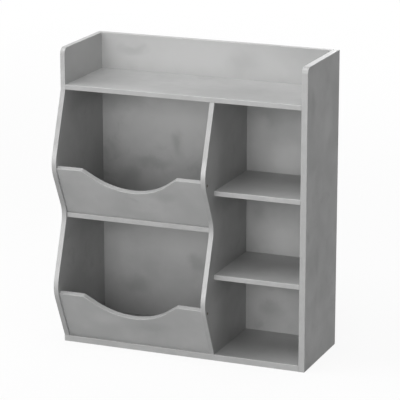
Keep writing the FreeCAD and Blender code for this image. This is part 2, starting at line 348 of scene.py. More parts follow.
class Nodes:
    """A node tree, with short calls for the nodes that the finishes and the studio share."""

    def __init__(self, tree: NodeTree) -> None:
        """Keeps the tree that the nodes go into."""
        self.tree = tree

    def new(self, kind: str) -> Node:
        """Adds a shader node of a kind."""
        return self.tree.nodes.new("ShaderNode" + kind)

    def link(self, source: NodeSocket, target: NodeSocket) -> None:
        """Joins an output to an input."""
        self.tree.links.new(source, target)

    def maths(self, operation: str, first: NodeSocket, second: NodeSocket) -> NodeSocket:
        """Works out one value from two.

        Args:
            operation: What is done with them.
            first: One value.
            second: The other value.

        Returns:
            The result.
        """
        node = self.new("Math")
        node.operation = operation
        self.link(first, node.inputs[0])
        self.link(second, node.inputs[1])
        return node.outputs["Value"]

    def vectors(self, operation: str, first: NodeSocket, *others: NodeSocket | Vector) -> Node:
        """Works out coordinates or a length from coordinates.

        Args:
            operation: What is done with them.
            first: The coordinates.
            others: What else goes in, each a fixed vector or the socket that gives it.

        Returns:
            The node that holds the result.
        """
        node = self.new("VectorMath")
        node.operation = operation
        self.link(first, node.inputs[0])
        for index, other in enumerate(others, 1):
            if isinstance(other, Vector):
                node.inputs[index].default_value = other
            else:
                self.link(other, node.inputs[index])
        return node

    def spread(self, value: NodeSocket, low: float, high: float, to_low: float = 0.0,
               to_high: float = 1.0) -> NodeSocket:
        """A value mapped smoothly from one range to another, and held within it.

        Args:
            value: The value to map.
            low: Where the first range starts.
            high: Where the first range ends.
            to_low: Where the second range starts.
            to_high: Where the second range ends.

        Returns:
            The mapped value.
        """
        node = self.new("MapRange")
        node.interpolation_type = "SMOOTHSTEP"
        for name, number in (("From Min", low), ("From Max", high), ("To Min", to_low), ("To Max", to_high)):
            node.inputs[name].default_value = number
        self.link(value, node.inputs["Value"])
        return node.outputs["Result"]

    def mixed(self, share: NodeSocket, first: NodeSocket, second: NodeSocket) -> NodeSocket:
        """A shader between two shaders.

        Args:
            share: 0 for the first shader and 1 for the second.
            first: The first shader.
            second: The second shader.

        Returns:
            The mixed shader.
        """
        node = self.new("MixShader")
        self.link(share, node.inputs["Fac"])
        self.link(first, node.inputs[1])
        self.link(second, node.inputs[2])
        return node.outputs["Shader"]

    def seen(self) -> NodeSocket:
        """Tells the rays apart that show the background.

        Returns:
            1 for rays from the camera and those that carry a reflection or pass through glass.
        """
        path = self.new("LightPath").outputs
        shown = self.maths("MAXIMUM", path["Is Camera Ray"], path["Is Glossy Ray"])
        return self.maths("MAXIMUM", shown, path["Is Transmission Ray"])


class Graph(Nodes):
    """Node tree of one material."""

    def __init__(self, name: str) -> None:
        """Starts a material with a principled shader and Object coordinates.

        Args:
            name: The material's name.
        """
        self.material: Material = bpy.data.materials.new(name)
        self.material.use_nodes = True
        super().__init__(self.material.node_tree)
        self.shader: Node = self.tree.nodes["Principled BSDF"]
        self.place: NodeSocket = self.new("TexCoord").outputs["Object"]

    def feed(self, socket: str, source: NodeSocket) -> None:
        """Joins an output to one of the principled shader's inputs."""
        self.link(source, self.shader.inputs[socket])

    def moved(self, shift: Triple, scale: Triple = (1.0, 1.0, 1.0)) -> NodeSocket:
        """Object coordinates, moved and stretched.

        Args:
            shift: How far the pattern is moved, in metres.
            scale: How often the pattern repeats along each axis.

        Returns:
            The new coordinates.
        """
        node = self.new("Mapping")
        node.inputs["Location"].default_value = shift
        node.inputs["Scale"].default_value = scale
        self.link(self.place, node.inputs["Vector"])
        return node.outputs["Vector"]

    def noise(self, place: NodeSocket, grain: Grain, output: str = "Fac") -> NodeSocket:
        """Noise between 0 and 1.

        Args:
            place: The coordinates that it reads.
            grain: The noise's settings.
            output: "Fac" for one value and "Color" for three that differ.

        Returns:
            The noise.
        """
        node = self.new("TexNoise")
        node.inputs["Scale"].default_value = grain.lumps
        node.inputs["Detail"].default_value = grain.detail
        node.inputs["Roughness"].default_value = grain.roughness
        node.inputs["Distortion"].default_value = grain.distortion
        self.link(place, node.inputs["Vector"])
        return node.outputs[output]

    def layer(self, place: NodeSocket, grain: Grain, to_low: float = 0.0,
              to_high: float = 1.0) -> NodeSocket:
        """Noise whose span is spread out over a range.

        Args:
            place: The coordinates that it reads.
            grain: The noise's settings.
            to_low: Where the range starts.
            to_high: Where the range ends.

        Returns:
            The spread noise.
        """
        return self.spread(self.noise(place, grain), *grain.span, to_low, to_high)

    def warped(self, reach: Vector) -> NodeSocket:
        """Object coordinates pulled about by noise.

        Args:
            reach: How far a point may move along each axis, in metres.

        Returns:
            The pulled coordinates.
        """
        noise = self.noise(self.place, OUTLINE_GRAIN, "Color")
        pulled = self.vectors("MULTIPLY_ADD", noise, 2 * reach, self.place)
        return self.vectors("SUBTRACT", pulled.outputs["Vector"], reach).outputs["Vector"]

    def patch(self, place: NodeSocket, smudge: Smudge) -> NodeSocket:
        """A soft round patch.

        Args:
            place: The coordinates that it reads.
            smudge: Its place, reach and strength.

        Returns:
            The strength in the middle, which falls to 0 at the patch's edge.
        """
        apart = self.vectors("SUBTRACT", place, Vector(smudge.middle))
        shares = self.vectors("DIVIDE", apart.outputs["Vector"], Vector(smudge.reach))
        length = self.vectors("LENGTH", shares.outputs["Vector"])
        return self.spread(length.outputs["Value"], PATCH_CORE, 1.0, smudge.strength, 0.0)

    def blend(self, share: NodeSocket, first: NodeSocket | Colour,
              second: NodeSocket | Colour) -> NodeSocket:
        """A colour between two colours.

        Args:
            share: 0 for the first colour and 1 for the second.
            first: The first colour, or the socket that gives it.
            second: The second colour, or the socket that gives it.

        Returns:
            The blended colour.
        """
        node = self.new("Mix")
        node.data_type = "RGBA"
        self.link(share, node.inputs["Factor"])
        for socket, colour in ((node.inputs[6], first), (node.inputs[7], second)):
            if isinstance(colour, tuple):
                socket.default_value = (*colour, 1.0)
            else:
                self.link(colour, socket)
        return node.outputs[2]

    def smudged(self, colour: NodeSocket, smudges: Sequence[Smudge], warp: Triple) -> NodeSocket:
        """Lays patches with uneven outlines over a colour.

        Args:
            colour: The colour below.
            smudges: The patches, each over the ones before it.
            warp: How far the outlines are pulled about along each axis, in metres.

        Returns:
            The colour with its patches.
        """
        if smudges:
            place = self.warped(Vector(warp))
            for smudge in smudges:
                colour = self.blend(self.patch(place, smudge), colour, smudge.tone.value)
        return colour

    def bump(self, height: NodeSocket, strength: float, depth: float) -> None:
        """Raises the surface by a height, on top of any bump already there.

        Args:
            height: The height between 0 and 1.
            strength: How much of the bump shows.
            depth: The real depth in metres.
        """
        node = self.new("Bump")
        node.inputs["Strength"].default_value = strength
        node.inputs["Distance"].default_value = depth
        self.link(height, node.inputs["Height"])
        normal = self.shader.inputs["Normal"]
        if normal.is_linked:
            self.link(normal.links[0].from_socket, node.inputs["Normal"])
        self.link(node.outputs["Normal"], normal)

    def emboss(self, place: NodeSocket, relief: Relief) -> None:
        """Raises the surface by a fine grain."""
        self.bump(self.noise(place, relief.grain), relief.strength, relief.depth)


@dataclass(frozen=True)
class CloudyPaint:
    """Satin grey paint of a board's faces, with soft clouds and darker smudges like cast concrete, and
    patches of painted light and painted shade.
    """

    name: str
    drift: Triple
    smudges: tuple[Smudge, ...]
    warp: Triple
    light: Colour = (0.482, 0.483, 0.482)
    dark: Colour = (0.405, 0.408, 0.406)
    speck: Colour = (0.310, 0.314, 0.312)
    clouds: Grain = Grain(6.0, 3.0, 0.55, 0.3, span=(0.32, 0.68))
    mottle: Grain = Grain(34.0, 4.0, 0.6, span=(0.3, 0.7))
    mottle_amount: float = 0.34
    speck_groups: Grain = Grain(5.0, 2.0, span=(0.46, 0.64))
    specks: Grain = Grain(22.0, 6.0, 0.62, 0.8, span=(0.46, 0.74))
    speck_amount: float = 0.42
    gloss: Grain = Grain(16.0, 4.0, 0.6, span=(0.3, 0.7))
    roughness: tuple[float, float] = (0.40, 0.52)
    pores: Relief = Relief(Grain(620.0, 2.0), 0.10, 0.12 * MM)
    ripples: Relief = Relief(Grain(55.0), 0.12, 0.35 * MM)

    def material(self) -> Material:
        """Builds the paint's material.

        Returns:
            The material.
        """
        graph = Graph(self.name)
        place = graph.moved(self.drift)
        colour = graph.blend(graph.layer(place, self.clouds), self.dark, self.light)
        mottle = graph.layer(place, self.mottle, 0.0, self.mottle_amount)
        colour = graph.blend(mottle, colour, self.dark)
        groups, specks = graph.layer(place, self.speck_groups), graph.layer(place, self.specks)
        weight = graph.spread(graph.maths("MULTIPLY", groups, specks), 0.0, 1.0, 0.0, self.speck_amount)
        colour = graph.blend(weight, colour, self.speck)
        graph.feed("Base Color", graph.smudged(colour, self.smudges, self.warp))
        graph.feed("Roughness", graph.layer(place, self.gloss, *self.roughness))
        graph.emboss(place, self.pores)
        graph.emboss(place, self.ripples)
        return graph.material


@dataclass(frozen=True)
class BandPaint:
    """Plain satin grey paint of the boards' narrow edges, with patches of painted highlight and painted
    shade.
    """

    name: str
    smudges: tuple[Smudge, ...] = ()
    light: Colour = (0.508, 0.509, 0.506)
    dark: Colour = (0.460, 0.462, 0.459)
    streaks: Grain = Grain(26.0, 4.0, 0.6, span=(0.3, 0.7))
    gloss: Grain = Grain(40.0, span=(0.3, 0.7))
    roughness: tuple[float, float] = (0.29, 0.38)
    pores: Relief = Relief(Grain(700.0, 3.0, 0.6), 0.16, 0.15 * MM)
    warp: Triple = (6.0 * MM, 6.0 * MM, 6.0 * MM)

    def material(self) -> Material:
        """Builds the paint's material.

        Returns:
            The material.
        """
        graph = Graph(self.name)
        colour = graph.blend(graph.layer(graph.place, self.streaks), self.dark, self.light)
        graph.feed("Base Color", graph.smudged(colour, self.smudges, self.warp))
        graph.feed("Roughness", graph.layer(graph.place, self.gloss, *self.roughness))
        graph.emboss(graph.place, self.pores)
        return graph.material


@dataclass(frozen=True)
class EasedPaint:
    """Paint of the eased edges, a little brighter, partly from wear and partly as a painted highlight along
    the rounded edges, smoother with use, and with a few small worn nicks.
    """

    name: str
    smudges: tuple[Smudge, ...] = ()
    # The light tone is partly a painted highlight along the rounded edges.
    light: Colour = (0.560, 0.561, 0.557)
    dark: Colour = (0.475, 0.477, 0.473)
    worn: Colour = (0.360, 0.350, 0.330)
    rubs: Grain = Grain(18.0, 4.0, 0.6, span=(0.35, 0.65))
    nicks: Grain = Grain(260.0, 3.0, 0.6, span=(0.64, 0.72))
    nick_groups: Grain = Grain(14.0, 2.0, span=(0.52, 0.66))
    nick_drift: Triple = (3.0, 1.0, 2.0)
    nick_strength: float = 0.3
    nick_depth: float = 0.15 * MM
    roughness: tuple[float, float] = (0.42, 0.32)
    pores: Relief = Relief(Grain(500.0, 3.0, 0.6), 0.14, 0.12 * MM)
    warp: Triple = (6.0 * MM, 6.0 * MM, 6.0 * MM)

    def material(self) -> Material:
        """Builds the paint's material.

        Returns:
            The material.
        """
        graph = Graph(self.name)
        wear_and_painted_light = graph.layer(graph.place, self.rubs)
        colour = graph.smudged(graph.blend(wear_and_painted_light, self.dark, self.light), self.smudges, self.warp)
        groups = graph.layer(graph.moved(self.nick_drift), self.nick_groups)
        nicks = graph.maths("MULTIPLY", graph.layer(graph.place, self.nicks), groups)
        graph.feed("Base Color", graph.blend(nicks, colour, self.worn))
        graph.feed("Roughness", graph.spread(wear_and_painted_light, 0.0, 1.0, *self.roughness))
        graph.emboss(graph.place, self.pores)
        graph.bump(nicks, self.nick_strength, -self.nick_depth)
        return graph.material


@dataclass(frozen=True)
class RawBoard:
    """Bare fibreboard inside the bores, with flat fibres."""

    name: str = "raw_fibreboard"
    dark: Colour = (0.30, 0.20, 0.12)
    light: Colour = (0.46, 0.33, 0.21)
    fibres: Relief = Relief(Grain(420.0, 5.0, 0.7, span=(0.2, 0.8)), 0.4, 0.2 * MM)
    flatness: Triple = (1.0, 1.0, 3.0)
    roughness: tuple[float, float] = (0.82, 0.95)

    def material(self) -> Material:
        """Builds the bare board's material.

        Returns:
            The material.
        """
        graph = Graph(self.name)
        fibres = graph.noise(graph.moved((0.0, 0.0, 0.0), self.flatness), self.fibres.grain)
        graph.feed("Base Color", graph.blend(fibres, self.dark, self.light))
        graph.feed("Roughness", graph.spread(fibres, *self.fibres.grain.span, *self.roughness))
        graph.bump(fibres, self.fibres.strength, self.fibres.depth)
        return graph.material


@dataclass(frozen=True)
class TurnedBeech:
    """Bare beech of the dowels, with fine flecks along the grain."""

    name: str = "turned_beech"
    dark: Colour = (0.56, 0.37, 0.20)
    light: Colour = (0.70, 0.50, 0.31)
    fleck: Colour = (0.38, 0.22, 0.11)
    grain: Relief = Relief(Grain(520.0, 4.0, 0.6, span=(0.2, 0.8)), 0.3, 0.1 * MM)
    grain_drift: Triple = (0.3, 0.1, 0.2)
    grain_length: Triple = (0.25, 1.0, 1.0)
    flecks: Grain = Grain(1400.0, 2.0, span=(0.55, 0.75))
    fleck_amount: float = 0.6
    roughness: tuple[float, float] = (0.55, 0.72)

    def material(self) -> Material:
        """Builds the wood's material.

        Returns:
            The material.
        """
        graph = Graph(self.name)
        grain = graph.noise(graph.moved(self.grain_drift, self.grain_length), self.grain.grain)
        flecks = graph.layer(graph.place, self.flecks, 0.0, self.fleck_amount)
        colour = graph.blend(grain, self.dark, self.light)
        graph.feed("Base Color", graph.blend(flecks, colour, self.fleck))
        graph.feed("Roughness", graph.spread(grain, *self.grain.grain.span, *self.roughness))
        graph.bump(grain, self.grain.strength, self.grain.depth)
        return graph.material


@dataclass(frozen=True)
class PlainMetal:
    """Zinc or plated steel of the hardware."""

    name: str
    bright: Colour
    dull: Colour
    roughness: tuple[float, float]
    grain: Relief
    stains: Grain = Grain(210.0, 4.0, 0.6, span=(0.35, 0.7))

    def material(self) -> Material:
        """Builds the metal's material.

        Returns:
            The material.
        """
        graph = Graph(self.name)
        stains = graph.layer(graph.place, self.stains)
        graph.feed("Base Color", graph.blend(stains, self.bright, self.dull))
        graph.shader.inputs["Metallic"].default_value = 1.0
        graph.feed("Roughness", graph.spread(stains, 0.0, 1.0, *self.roughness))
        graph.emboss(graph.place, self.grain)
        return graph.material


METAL_GRAIN = Grain(1900.0, 3.0, 0.6)
METAL_DEPTH = 0.06 * MM
CAST_ZINC = PlainMetal("cast_zinc", bright=(0.52, 0.52, 0.53), dull=(0.38, 0.38, 0.39),
                       roughness=(0.38, 0.52), grain=Relief(METAL_GRAIN, 0.35, METAL_DEPTH))
PLATED_STEEL = PlainMetal("plated_steel", bright=(0.62, 0.61, 0.58), dull=(0.48, 0.47, 0.45),
                          roughness=(0.26, 0.40), grain=Relief(METAL_GRAIN, 0.12, METAL_DEPTH))
DARKENED_STEEL = PlainMetal("darkened_steel", bright=(0.21, 0.21, 0.20), dull=(0.12, 0.12, 0.12),
                            roughness=(0.42, 0.56), grain=Relief(METAL_GRAIN, 0.12, METAL_DEPTH))


@dataclass(frozen=True)
class Corner:
    """A corner of a board's outline, in the outline's own plane, with the radius that rounds it."""

    across: float
    up: float
    radius: float = 0.0

    @property
    def point(self) -> Vector:
        """The corner before it is rounded."""
        return Vector((self.across, self.up, 0.0))

    @classmethod
    def box(cls, left: float, low: float, right: float, high: float) -> "list[Corner]":
        """Gives the four corners of a rectangle."""
        return [cls(left, low), cls(right, low), cls(right, high), cls(left, high)]


class Shapes:
    """Ways to start a mesh that several pieces share."""

    @staticmethod
    def parts(result: dict, key: str, kind: type) -> list:
        """Picks the points or edges out of what an operator made."""
        return [item for item in result[key] if isinstance(item, kind)]

    @staticmethod
    def outline(corners: Sequence[Corner]) -> BMesh:
        """Draws a closed outline with rounded corners and fills it.

        Args:
            corners: The corners in order round the outline.

        Returns:
            A mesh with one face in the plane of the outline.
        """
        mesh = bmesh.new()
        ends: list[tuple[BMVert, BMVert]] = []
        for index, corner in enumerate(corners):
            back = (corners[index - 1].point - corner.point).normalized()
            ahead = (corners[(index + 1) % len(corners)].point - corner.point).normalized()
            first = mesh.verts.new(corner.point)
            last = first
            if corner.radius > 0:
                half = back.angle(ahead) / 2
                run = corner.radius / math.tan(half)
                centre = corner.point + (back + ahead).normalized() * corner.radius / math.sin(half)
                first.co = corner.point + back * run
                turn = math.pi - 2 * half
                axis = (first.co - centre).cross(corner.point + ahead * run - centre)
                arc = bmesh.ops.spin(mesh, geom=[first], cent=centre, axis=axis.normalized(),
                                     angle=turn, steps=max(LEAST_STEPS, math.ceil(turn / ARC_STEP)))
                last = Shapes.parts(arc, "geom_last", BMVert)[0]
            ends.append((first, last))
        for index, (first, _) in enumerate(ends):
            mesh.edges.new((ends[index - 1][1], first))
        bmesh.ops.edgeloop_fill(mesh, edges=mesh.edges[:])
        return mesh

    @staticmethod
    def slab(corners: Sequence[Corner], thickness: float) -> BMesh:
        """Gives an outline a thickness, with its faces pointing outwards.

        Args:
            corners: The outline's corners in order.
            thickness: How thick the slab is.

        Returns:
            A closed slab on the XY plane.
        """
        mesh = Shapes.outline(corners)
        raised = bmesh.ops.extrude_face_region(mesh, geom=mesh.faces[:])
        bmesh.ops.translate(mesh, verts=Shapes.parts(raised, "geom", BMVert), vec=(0, 0, thickness))
        bmesh.ops.recalc_face_normals(mesh, faces=mesh.faces[:])
        return mesh

    @staticmethod
    def turned(profile: Profile, steps: int) -> BMesh:
        """Turns a profile round the Z axis.

        Args:
            profile: (radius, height) pairs from one end on the axis to the other.
            steps: How many flats the turn has.

        Returns:
            A closed turned mesh.
        """
        mesh = bmesh.new()
        points = [mesh.verts.new((radius, 0, height)) for radius, height in profile]
        for first, second in zip(points, points[1:]):
            mesh.edges.new((first, second))
        bmesh.ops.spin(mesh, geom=mesh.verts[:] + mesh.edges[:], cent=(0, 0, 0), axis=(0, 0, 1),
                       angle=2 * math.pi, steps=steps, use_merge=True)
        bmesh.ops.remove_doubles(mesh, verts=mesh.verts[:], dist=MERGE)
        bmesh.ops.recalc_face_normals(mesh, faces=mesh.faces[:])
        return mesh

    @staticmethod
    def block(low: Vector, high: Vector) -> BMesh:
        """Makes a plain block to cut with.

        Args:
            low: Its lowest corner.
            high: Its highest corner.

        Returns:
            The closed block.
        """
        mesh = bmesh.new()
        bmesh.ops.create_cube(mesh, size=1.0)
        bmesh.ops.scale(mesh, vec=high - low, verts=mesh.verts[:])
        bmesh.ops.translate(mesh, vec=(low + high) / 2, verts=mesh.verts[:])
        return mesh

    @staticmethod
    def joined(parts: Iterable[tuple[BMesh, Matrix]]) -> BMesh:
        """Puts several meshes in one.

        Args:
            parts: Each mesh with its placement.

        Returns:
            One mesh that holds a copy of each.
        """
        whole = bmesh.new()
        for part, place in parts:
            copy = bpy.data.meshes.new("copy")
            part.to_mesh(copy)
            copy.transform(place)
            whole.from_mesh(copy)
            bpy.data.meshes.remove(copy)
        return whole


class Bench:
    """Turns meshes into finished pieces of the object."""

    @staticmethod
    def piece(name: str, mesh: BMesh, materials: Sequence[Material] = ()) -> Object:
        """Makes an object at the origin from a mesh.

        Args:
            name: The object's name.
            mesh: Its mesh, in the frame's coordinates, which is freed.
            materials: Its materials in the order of their indices.

        Returns:
            The new object.
        """
        data = bpy.data.meshes.new(name)
        mesh.to_mesh(data)
        mesh.free()
        for material in materials:
            data.materials.append(material)
        piece = bpy.data.objects.new(name, data)
        bpy.context.scene.collection.objects.link(piece)
        return piece

    @staticmethod
    def carve(piece: Object, cutter: Object) -> None:
        """Adds a cut with another object's shape, which apply() carries out.

        Args:
            piece: The piece to cut.
            cutter: The shape to take away.
        """
        cut = piece.modifiers.new("carve", "BOOLEAN")
        cut.operation = "DIFFERENCE"
        cut.solver = "EXACT"
        cut.material_mode = "TRANSFER"
        cut.object = cutter

    @staticmethod
    def apply(piece: Object, cutters: Iterable[Object] = ()) -> None:
        """Carries out a piece's modifiers and throws its cutters away.

        Args:
            piece: The piece.
            cutters: The shapes that its cuts used.
        """
        depsgraph = bpy.context.evaluated_depsgraph_get()
        done = bpy.data.meshes.new_from_object(piece.evaluated_get(depsgraph), depsgraph=depsgraph,
                                               preserve_all_data_layers=True)
        old = piece.data
        piece.modifiers.clear()
        piece.data = done
        done.name = piece.name
        bpy.data.meshes.remove(old)
        for cutter in cutters:
            bpy.data.meshes.remove(cutter.data)

    @staticmethod
    def finish(piece: Object, slot: Slot, *nodes: str) -> None:
        """Smooths a piece's rounded faces and gives it its place in the frame.

        Args:
            piece: The finished piece.
            slot: The record's material slot of the piece; not used.
            nodes: The nodes of the frame that it stands for.
        """
        piece.data.shade_smooth()
        piece.data.set_sharp_from_angle(angle=SHARP_ANGLE)
        steady = piece.modifiers.new("steady_shading", "WEIGHTED_NORMAL")
        steady.keep_sharp = True
        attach(piece, "root")
        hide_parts(*nodes)
        log.info("%s: %d faces for %s", piece.name, len(piece.data.polygons), ", ".join(nodes))


class Kind(Enum):
    """Kinds of fastenings, by the end of their nodes' names."""

    LOCK = "cam_locks"
    BOLT = "cam_bolts"
    DOWEL = "dowels"
    SCREW = "screws"


@dataclass(frozen=True)
class Seat:
    """Place of one fastening: its head's middle, the way that its head looks, and its size."""

    kind: Kind
    node: str
    head: Vector
    outward: Vector
    length: float
    radius: float
    head_radius: float

    @property
    def place(self) -> Matrix:
        """Placement that puts a fastening drawn down from the origin along Z on this seat."""
        return Matrix.Translation(self.head) @ self.outward.to_track_quat("Z", "Y").to_matrix().to_4x4()

    @property
    def shank(self) -> float:
        """Radius of a screw's shank, from the width of its head."""
        return SLIM_SHANK if self.head_radius < SLIM_HEAD else STOUT_SHANK

    def near(self, low: Vector, high: Vector) -> bool:
        """Whether the fastening reaches into a box.

        Args:
            low: The box's lowest corner.
            high: The box's highest corner.

        Returns:
            True where it reaches in.
        """
        ends = (self.head, self.head - self.outward * self.length)
        reach = Vector((self.head_radius,) * 3)
        lowest = Vector(map(min, *ends)) - reach
        highest = Vector(map(max, *ends)) + reach
        return all(a < b for a, b in zip(lowest, high)) and all(a > b for a, b in zip(highest, low))


@dataclass
class Joinery:
    """Every fastening of the frame, with the bores that belong to it."""

    clearance: float = 0.08 * MM
    bolt_clearance: float = 0.4 * MM
    bolt_thread: float = 8.0 * MM
    flats: int = 32
    seats: list[Seat] = field(default_factory=list)

    def __post_init__(self) -> None:
        """Reads the seats of all fastenings from the frame."""
        for node in sorted(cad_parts):
            for kind in Kind:
                if node.endswith(kind.value):
                    self.seats += self.read(node, kind)

    @staticmethod
    def islands(node: str) -> list[list[Vector]]:
        """Separates the solids of a node.

        Args:
            node: The node's name.

        Returns:
            The points of each solid, sorted by place.
        """
        mesh = bmesh.new()
        mesh.from_mesh(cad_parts[node].data)
        bmesh.ops.remove_doubles(mesh, verts=mesh.verts[:], dist=MERGE)
        mesh.verts.ensure_lookup_table()
        seen: set[int] = set()
        found: list[list[Vector]] = []
        for start in mesh.verts:
            if start.index in seen:
                continue
            seen.add(start.index)
            group = [start]
            for vert in group:
                for edge in vert.link_edges:
                    other = edge.other_vert(vert)
                    if other.index not in seen:
                        seen.add(other.index)
                        group.append(other)
            found.append([vert.co.copy() for vert in group])
        mesh.free()
        return sorted(found, key=lambda points: tuple(sum(points, Vector()) / len(points)))

    def read(self, node: str, kind: Kind) -> list[Seat]:
        """Reads the seats of one node's fastenings, one for each separate solid."""
        return [self.seat(node, kind, points) for points in self.islands(node)]

    def seat(self, node: str, kind: Kind, points: Sequence[Vector]) -> Seat:
        """Reads the seat of one fastening from its solid.

        Args:
            node: The node's name.
            kind: The kind of fastening.
            points: The solid's points.

        Returns:
            The seat, with the head at the wider end, or at the lower end of a cam lock.
        """
        low = Vector([min(values) for values in zip(*points)])
        high = Vector([max(values) for values in zip(*points)])
        size, middle = high - low, (low + high) / 2
        along = 2 if kind is Kind.LOCK else max(range(3), key=lambda axis: size[axis])
        widths = []
        for end in (low[along], high[along]):
            ring = [point for point in points if abs(point[along] - end) < ON_PLANE]
            widths.append(max(self.off_axis(point - middle, along) for point in ring))
        sign = -1.0 if kind is Kind.LOCK or widths[0] > widths[1] else 1.0
        outward = Vector([sign if axis == along else 0.0 for axis in range(3)])
        head = middle.copy()
        head[along] = low[along] if sign < 0 else high[along]
        return Seat(kind, node, head, outward, size[along], min(widths), max(widths))

    @staticmethod
    def off_axis(offset: Vector, along: int) -> float:
        """How far an offset lies from an axis."""
        return math.hypot(*(offset[axis] for axis in range(3) if axis != along))

    def bores(self, name: str, low: Vector, high: Vector, raw: Material) -> list[Object]:
        """Makes cutters for everything that is bored out of one board.

        Args:
            name: The board's name.
            low: The board's lowest corner.
            high: The board's highest corner.
            raw: The material of the bores' walls.

        Returns:
            A cutter for the cam locks' pockets and one for the straight bores, where there are any.
        """
        near = [seat for seat in self.seats if seat.near(low, high)]
        pockets = [seat for seat in near if seat.kind is Kind.LOCK]
        straight = [seat for seat in near if seat.kind is not Kind.LOCK]
        cutters = []
        for group, label in ((pockets, "pockets"), (straight, "straight")):
            if group:
                parts = [(Shapes.turned(self.bore_profile(seat), self.flats), seat.place) for seat in group]
                cutters.append(Bench.piece(name + "_" + label, Shapes.joined(parts), [raw]))
        return cutters

    def bore_profile(self, seat: Seat) -> Profile:
        """Draws the room that one fastening needs.

        Args:
            seat: The fastening's seat.

        Returns:
            A profile drawn down from its head.
        """
        gap, deep = self.clearance, -seat.length - self.clearance
        if seat.kind is Kind.LOCK:
            wall = seat.head_radius + gap
            return ((0, 2 * OVERRUN), (wall, 2 * OVERRUN), (wall, deep), (0, deep))
        if seat.kind is Kind.SCREW:
            rim, wall = seat.head_radius + gap, seat.shank + gap
            sink = seat.head_radius - seat.shank
            return ((0, OVERRUN), (rim, OVERRUN), (rim, 0), (wall, -sink), (wall, deep), (0, deep))
        if seat.kind is Kind.BOLT:
            rim, wall = seat.head_radius + self.bolt_clearance, seat.radius + gap
            start = self.bolt_thread - seat.length
            return ((0, OVERRUN), (rim, OVERRUN), (rim, start), (wall, start), (wall, deep), (0, deep))
        wall, end = seat.radius + gap, -seat.length - OVERRUN
        return ((0, OVERRUN), (wall, OVERRUN), (wall, end), (0, end))


@dataclass
class Fastener:
    """Base of the fastenings that are drawn once and set on all their seats."""

    joinery: Joinery
    material: Material
    slot: ClassVar[Slot]
    kind: ClassVar[Kind]
    suffix: ClassVar[str]

    def master(self, seat: Seat) -> BMesh:
        """Draws one fastening down from its head at the origin."""
        raise NotImplementedError

    def build(self) -> None:
        """Makes a detailed piece for every node that holds this kind of fastening."""
        nodes = sorted({seat.node for seat in self.joinery.seats if seat.kind is self.kind})
        for node in nodes:
            seats = [seat for seat in self.joinery.seats if seat.node == node]
            drawn = self.master(seats[0])
            mesh = Shapes.joined((drawn, seat.place) for seat in seats)
            drawn.free()
            piece = Bench.piece(node + "_" + self.suffix, mesh, [self.material])
            Bench.finish(piece, self.slot, node)

    @staticmethod
    def recessed(body: BMesh, tools: Sequence[BMesh]) -> BMesh:
        """Cuts recesses into a drawn fastening.

        Args:
            body: The fastening, which is freed.
            tools: The shapes to cut, one after another, which are freed.

        Returns:
            The cut fastening.
        """
        piece = Bench.piece("drawn_fastening", body)
        cutters = [Bench.piece("recess_tool", tool) for tool in tools]
        for cutter in cutters:
            Bench.carve(piece, cutter)
        Bench.apply(piece, cutters)
        done = bmesh.new()
        done.from_mesh(piece.data)
        bmesh.ops.remove_doubles(done, verts=done.verts[:], dist=FINE_MERGE)
        bpy.data.meshes.remove(piece.data)
        return done


@dataclass(frozen=True)
class CrossRecess:
    """Cross recess for a screwdriver: shares of the head's radius, and of the mouth for its foot."""

    reach: float
    arm: float
    depth: float
    foot_reach: float = 0.45
    foot_arm: float = 0.75

    def blades(self, head: float) -> list[BMesh]:
        """Makes the two tapered blades that cut the recess.

        Args:
            head: The radius of the head.

        Returns:
            The two blades, square to each other.
        """
        corner = Vector((self.reach * head / 2, self.arm * head / 2, OVERRUN))
        blades = []
        for angle in (0.0, math.pi / 2):
            blade = Shapes.block(Vector((-corner.x, -corner.y, -self.depth * head)), corner)
            foot = [vert for vert in blade.verts if vert.co.z < 0]
            bmesh.ops.scale(blade, vec=(self.foot_reach, self.foot_arm, 1.0), verts=foot)
            turn = Matrix.Rotation(angle, 3, "Z")
            bmesh.ops.rotate(blade, cent=(0, 0, 0), matrix=turn, verts=blade.verts[:])
            blades.append(blade)
        return blades


@dataclass
class Screws(Fastener):
    """Countersunk screws with a cross recess, a threaded shank and a drawn point.

    Sizes that end in share are shares of the shank's radius. The point's waist is a share of the thread's
    root, and the ridge starts and ends at shares of the pitch.
    """

    slot: ClassVar[Slot] = Slot.SCREW
    kind: ClassVar[Kind] = Kind.SCREW
    suffix: ClassVar[str] = "driven"
    flats: int = 36
    rim: float = 0.25 * MM
    neck_share: float = 0.8
    plain_share: float = 1.5
    root_share: float = 0.72
    pitch_share: float = 0.75
    point_share: float = 2.2
    point_waist: float = 0.6
    ridge: tuple[float, float] = (0.45, 0.55)
    recess: CrossRecess = CrossRecess(reach=1.15, arm=0.26, depth=0.62)

    def master(self, seat: Seat) -> BMesh:
        """Draws one screw with rolled thread ridges.

        Args:
            seat: A seat that gives the screw's size.

        Returns:
            The screw's mesh.
        """
        head, shank = seat.head_radius, seat.shank
        root, neck = self.root_share * shank, self.neck_share * shank
        pitch = self.pitch_share * shank
        under = head - shank + self.rim
        start = under + self.plain_share * shank
        profile = [(0, 0), (head - self.rim / 2, 0), (head, -self.rim / 2), (head, -self.rim),
                   (neck, -under), (neck, pitch / 2 - start)]
        count = int((seat.length - self.point_share * shank - start) / pitch)
        for turn in range(count):
            at = start + turn * pitch
            profile += [(root, -at), *((shank, -at - share * pitch) for share in self.ridge)]
        end = start + count * pitch
        profile += [(root, -end), (self.point_waist * root, -(end + seat.length) / 2), (0, -seat.length)]
        return self.recessed(Shapes.turned(profile, self.flats), self.recess.blades(head))


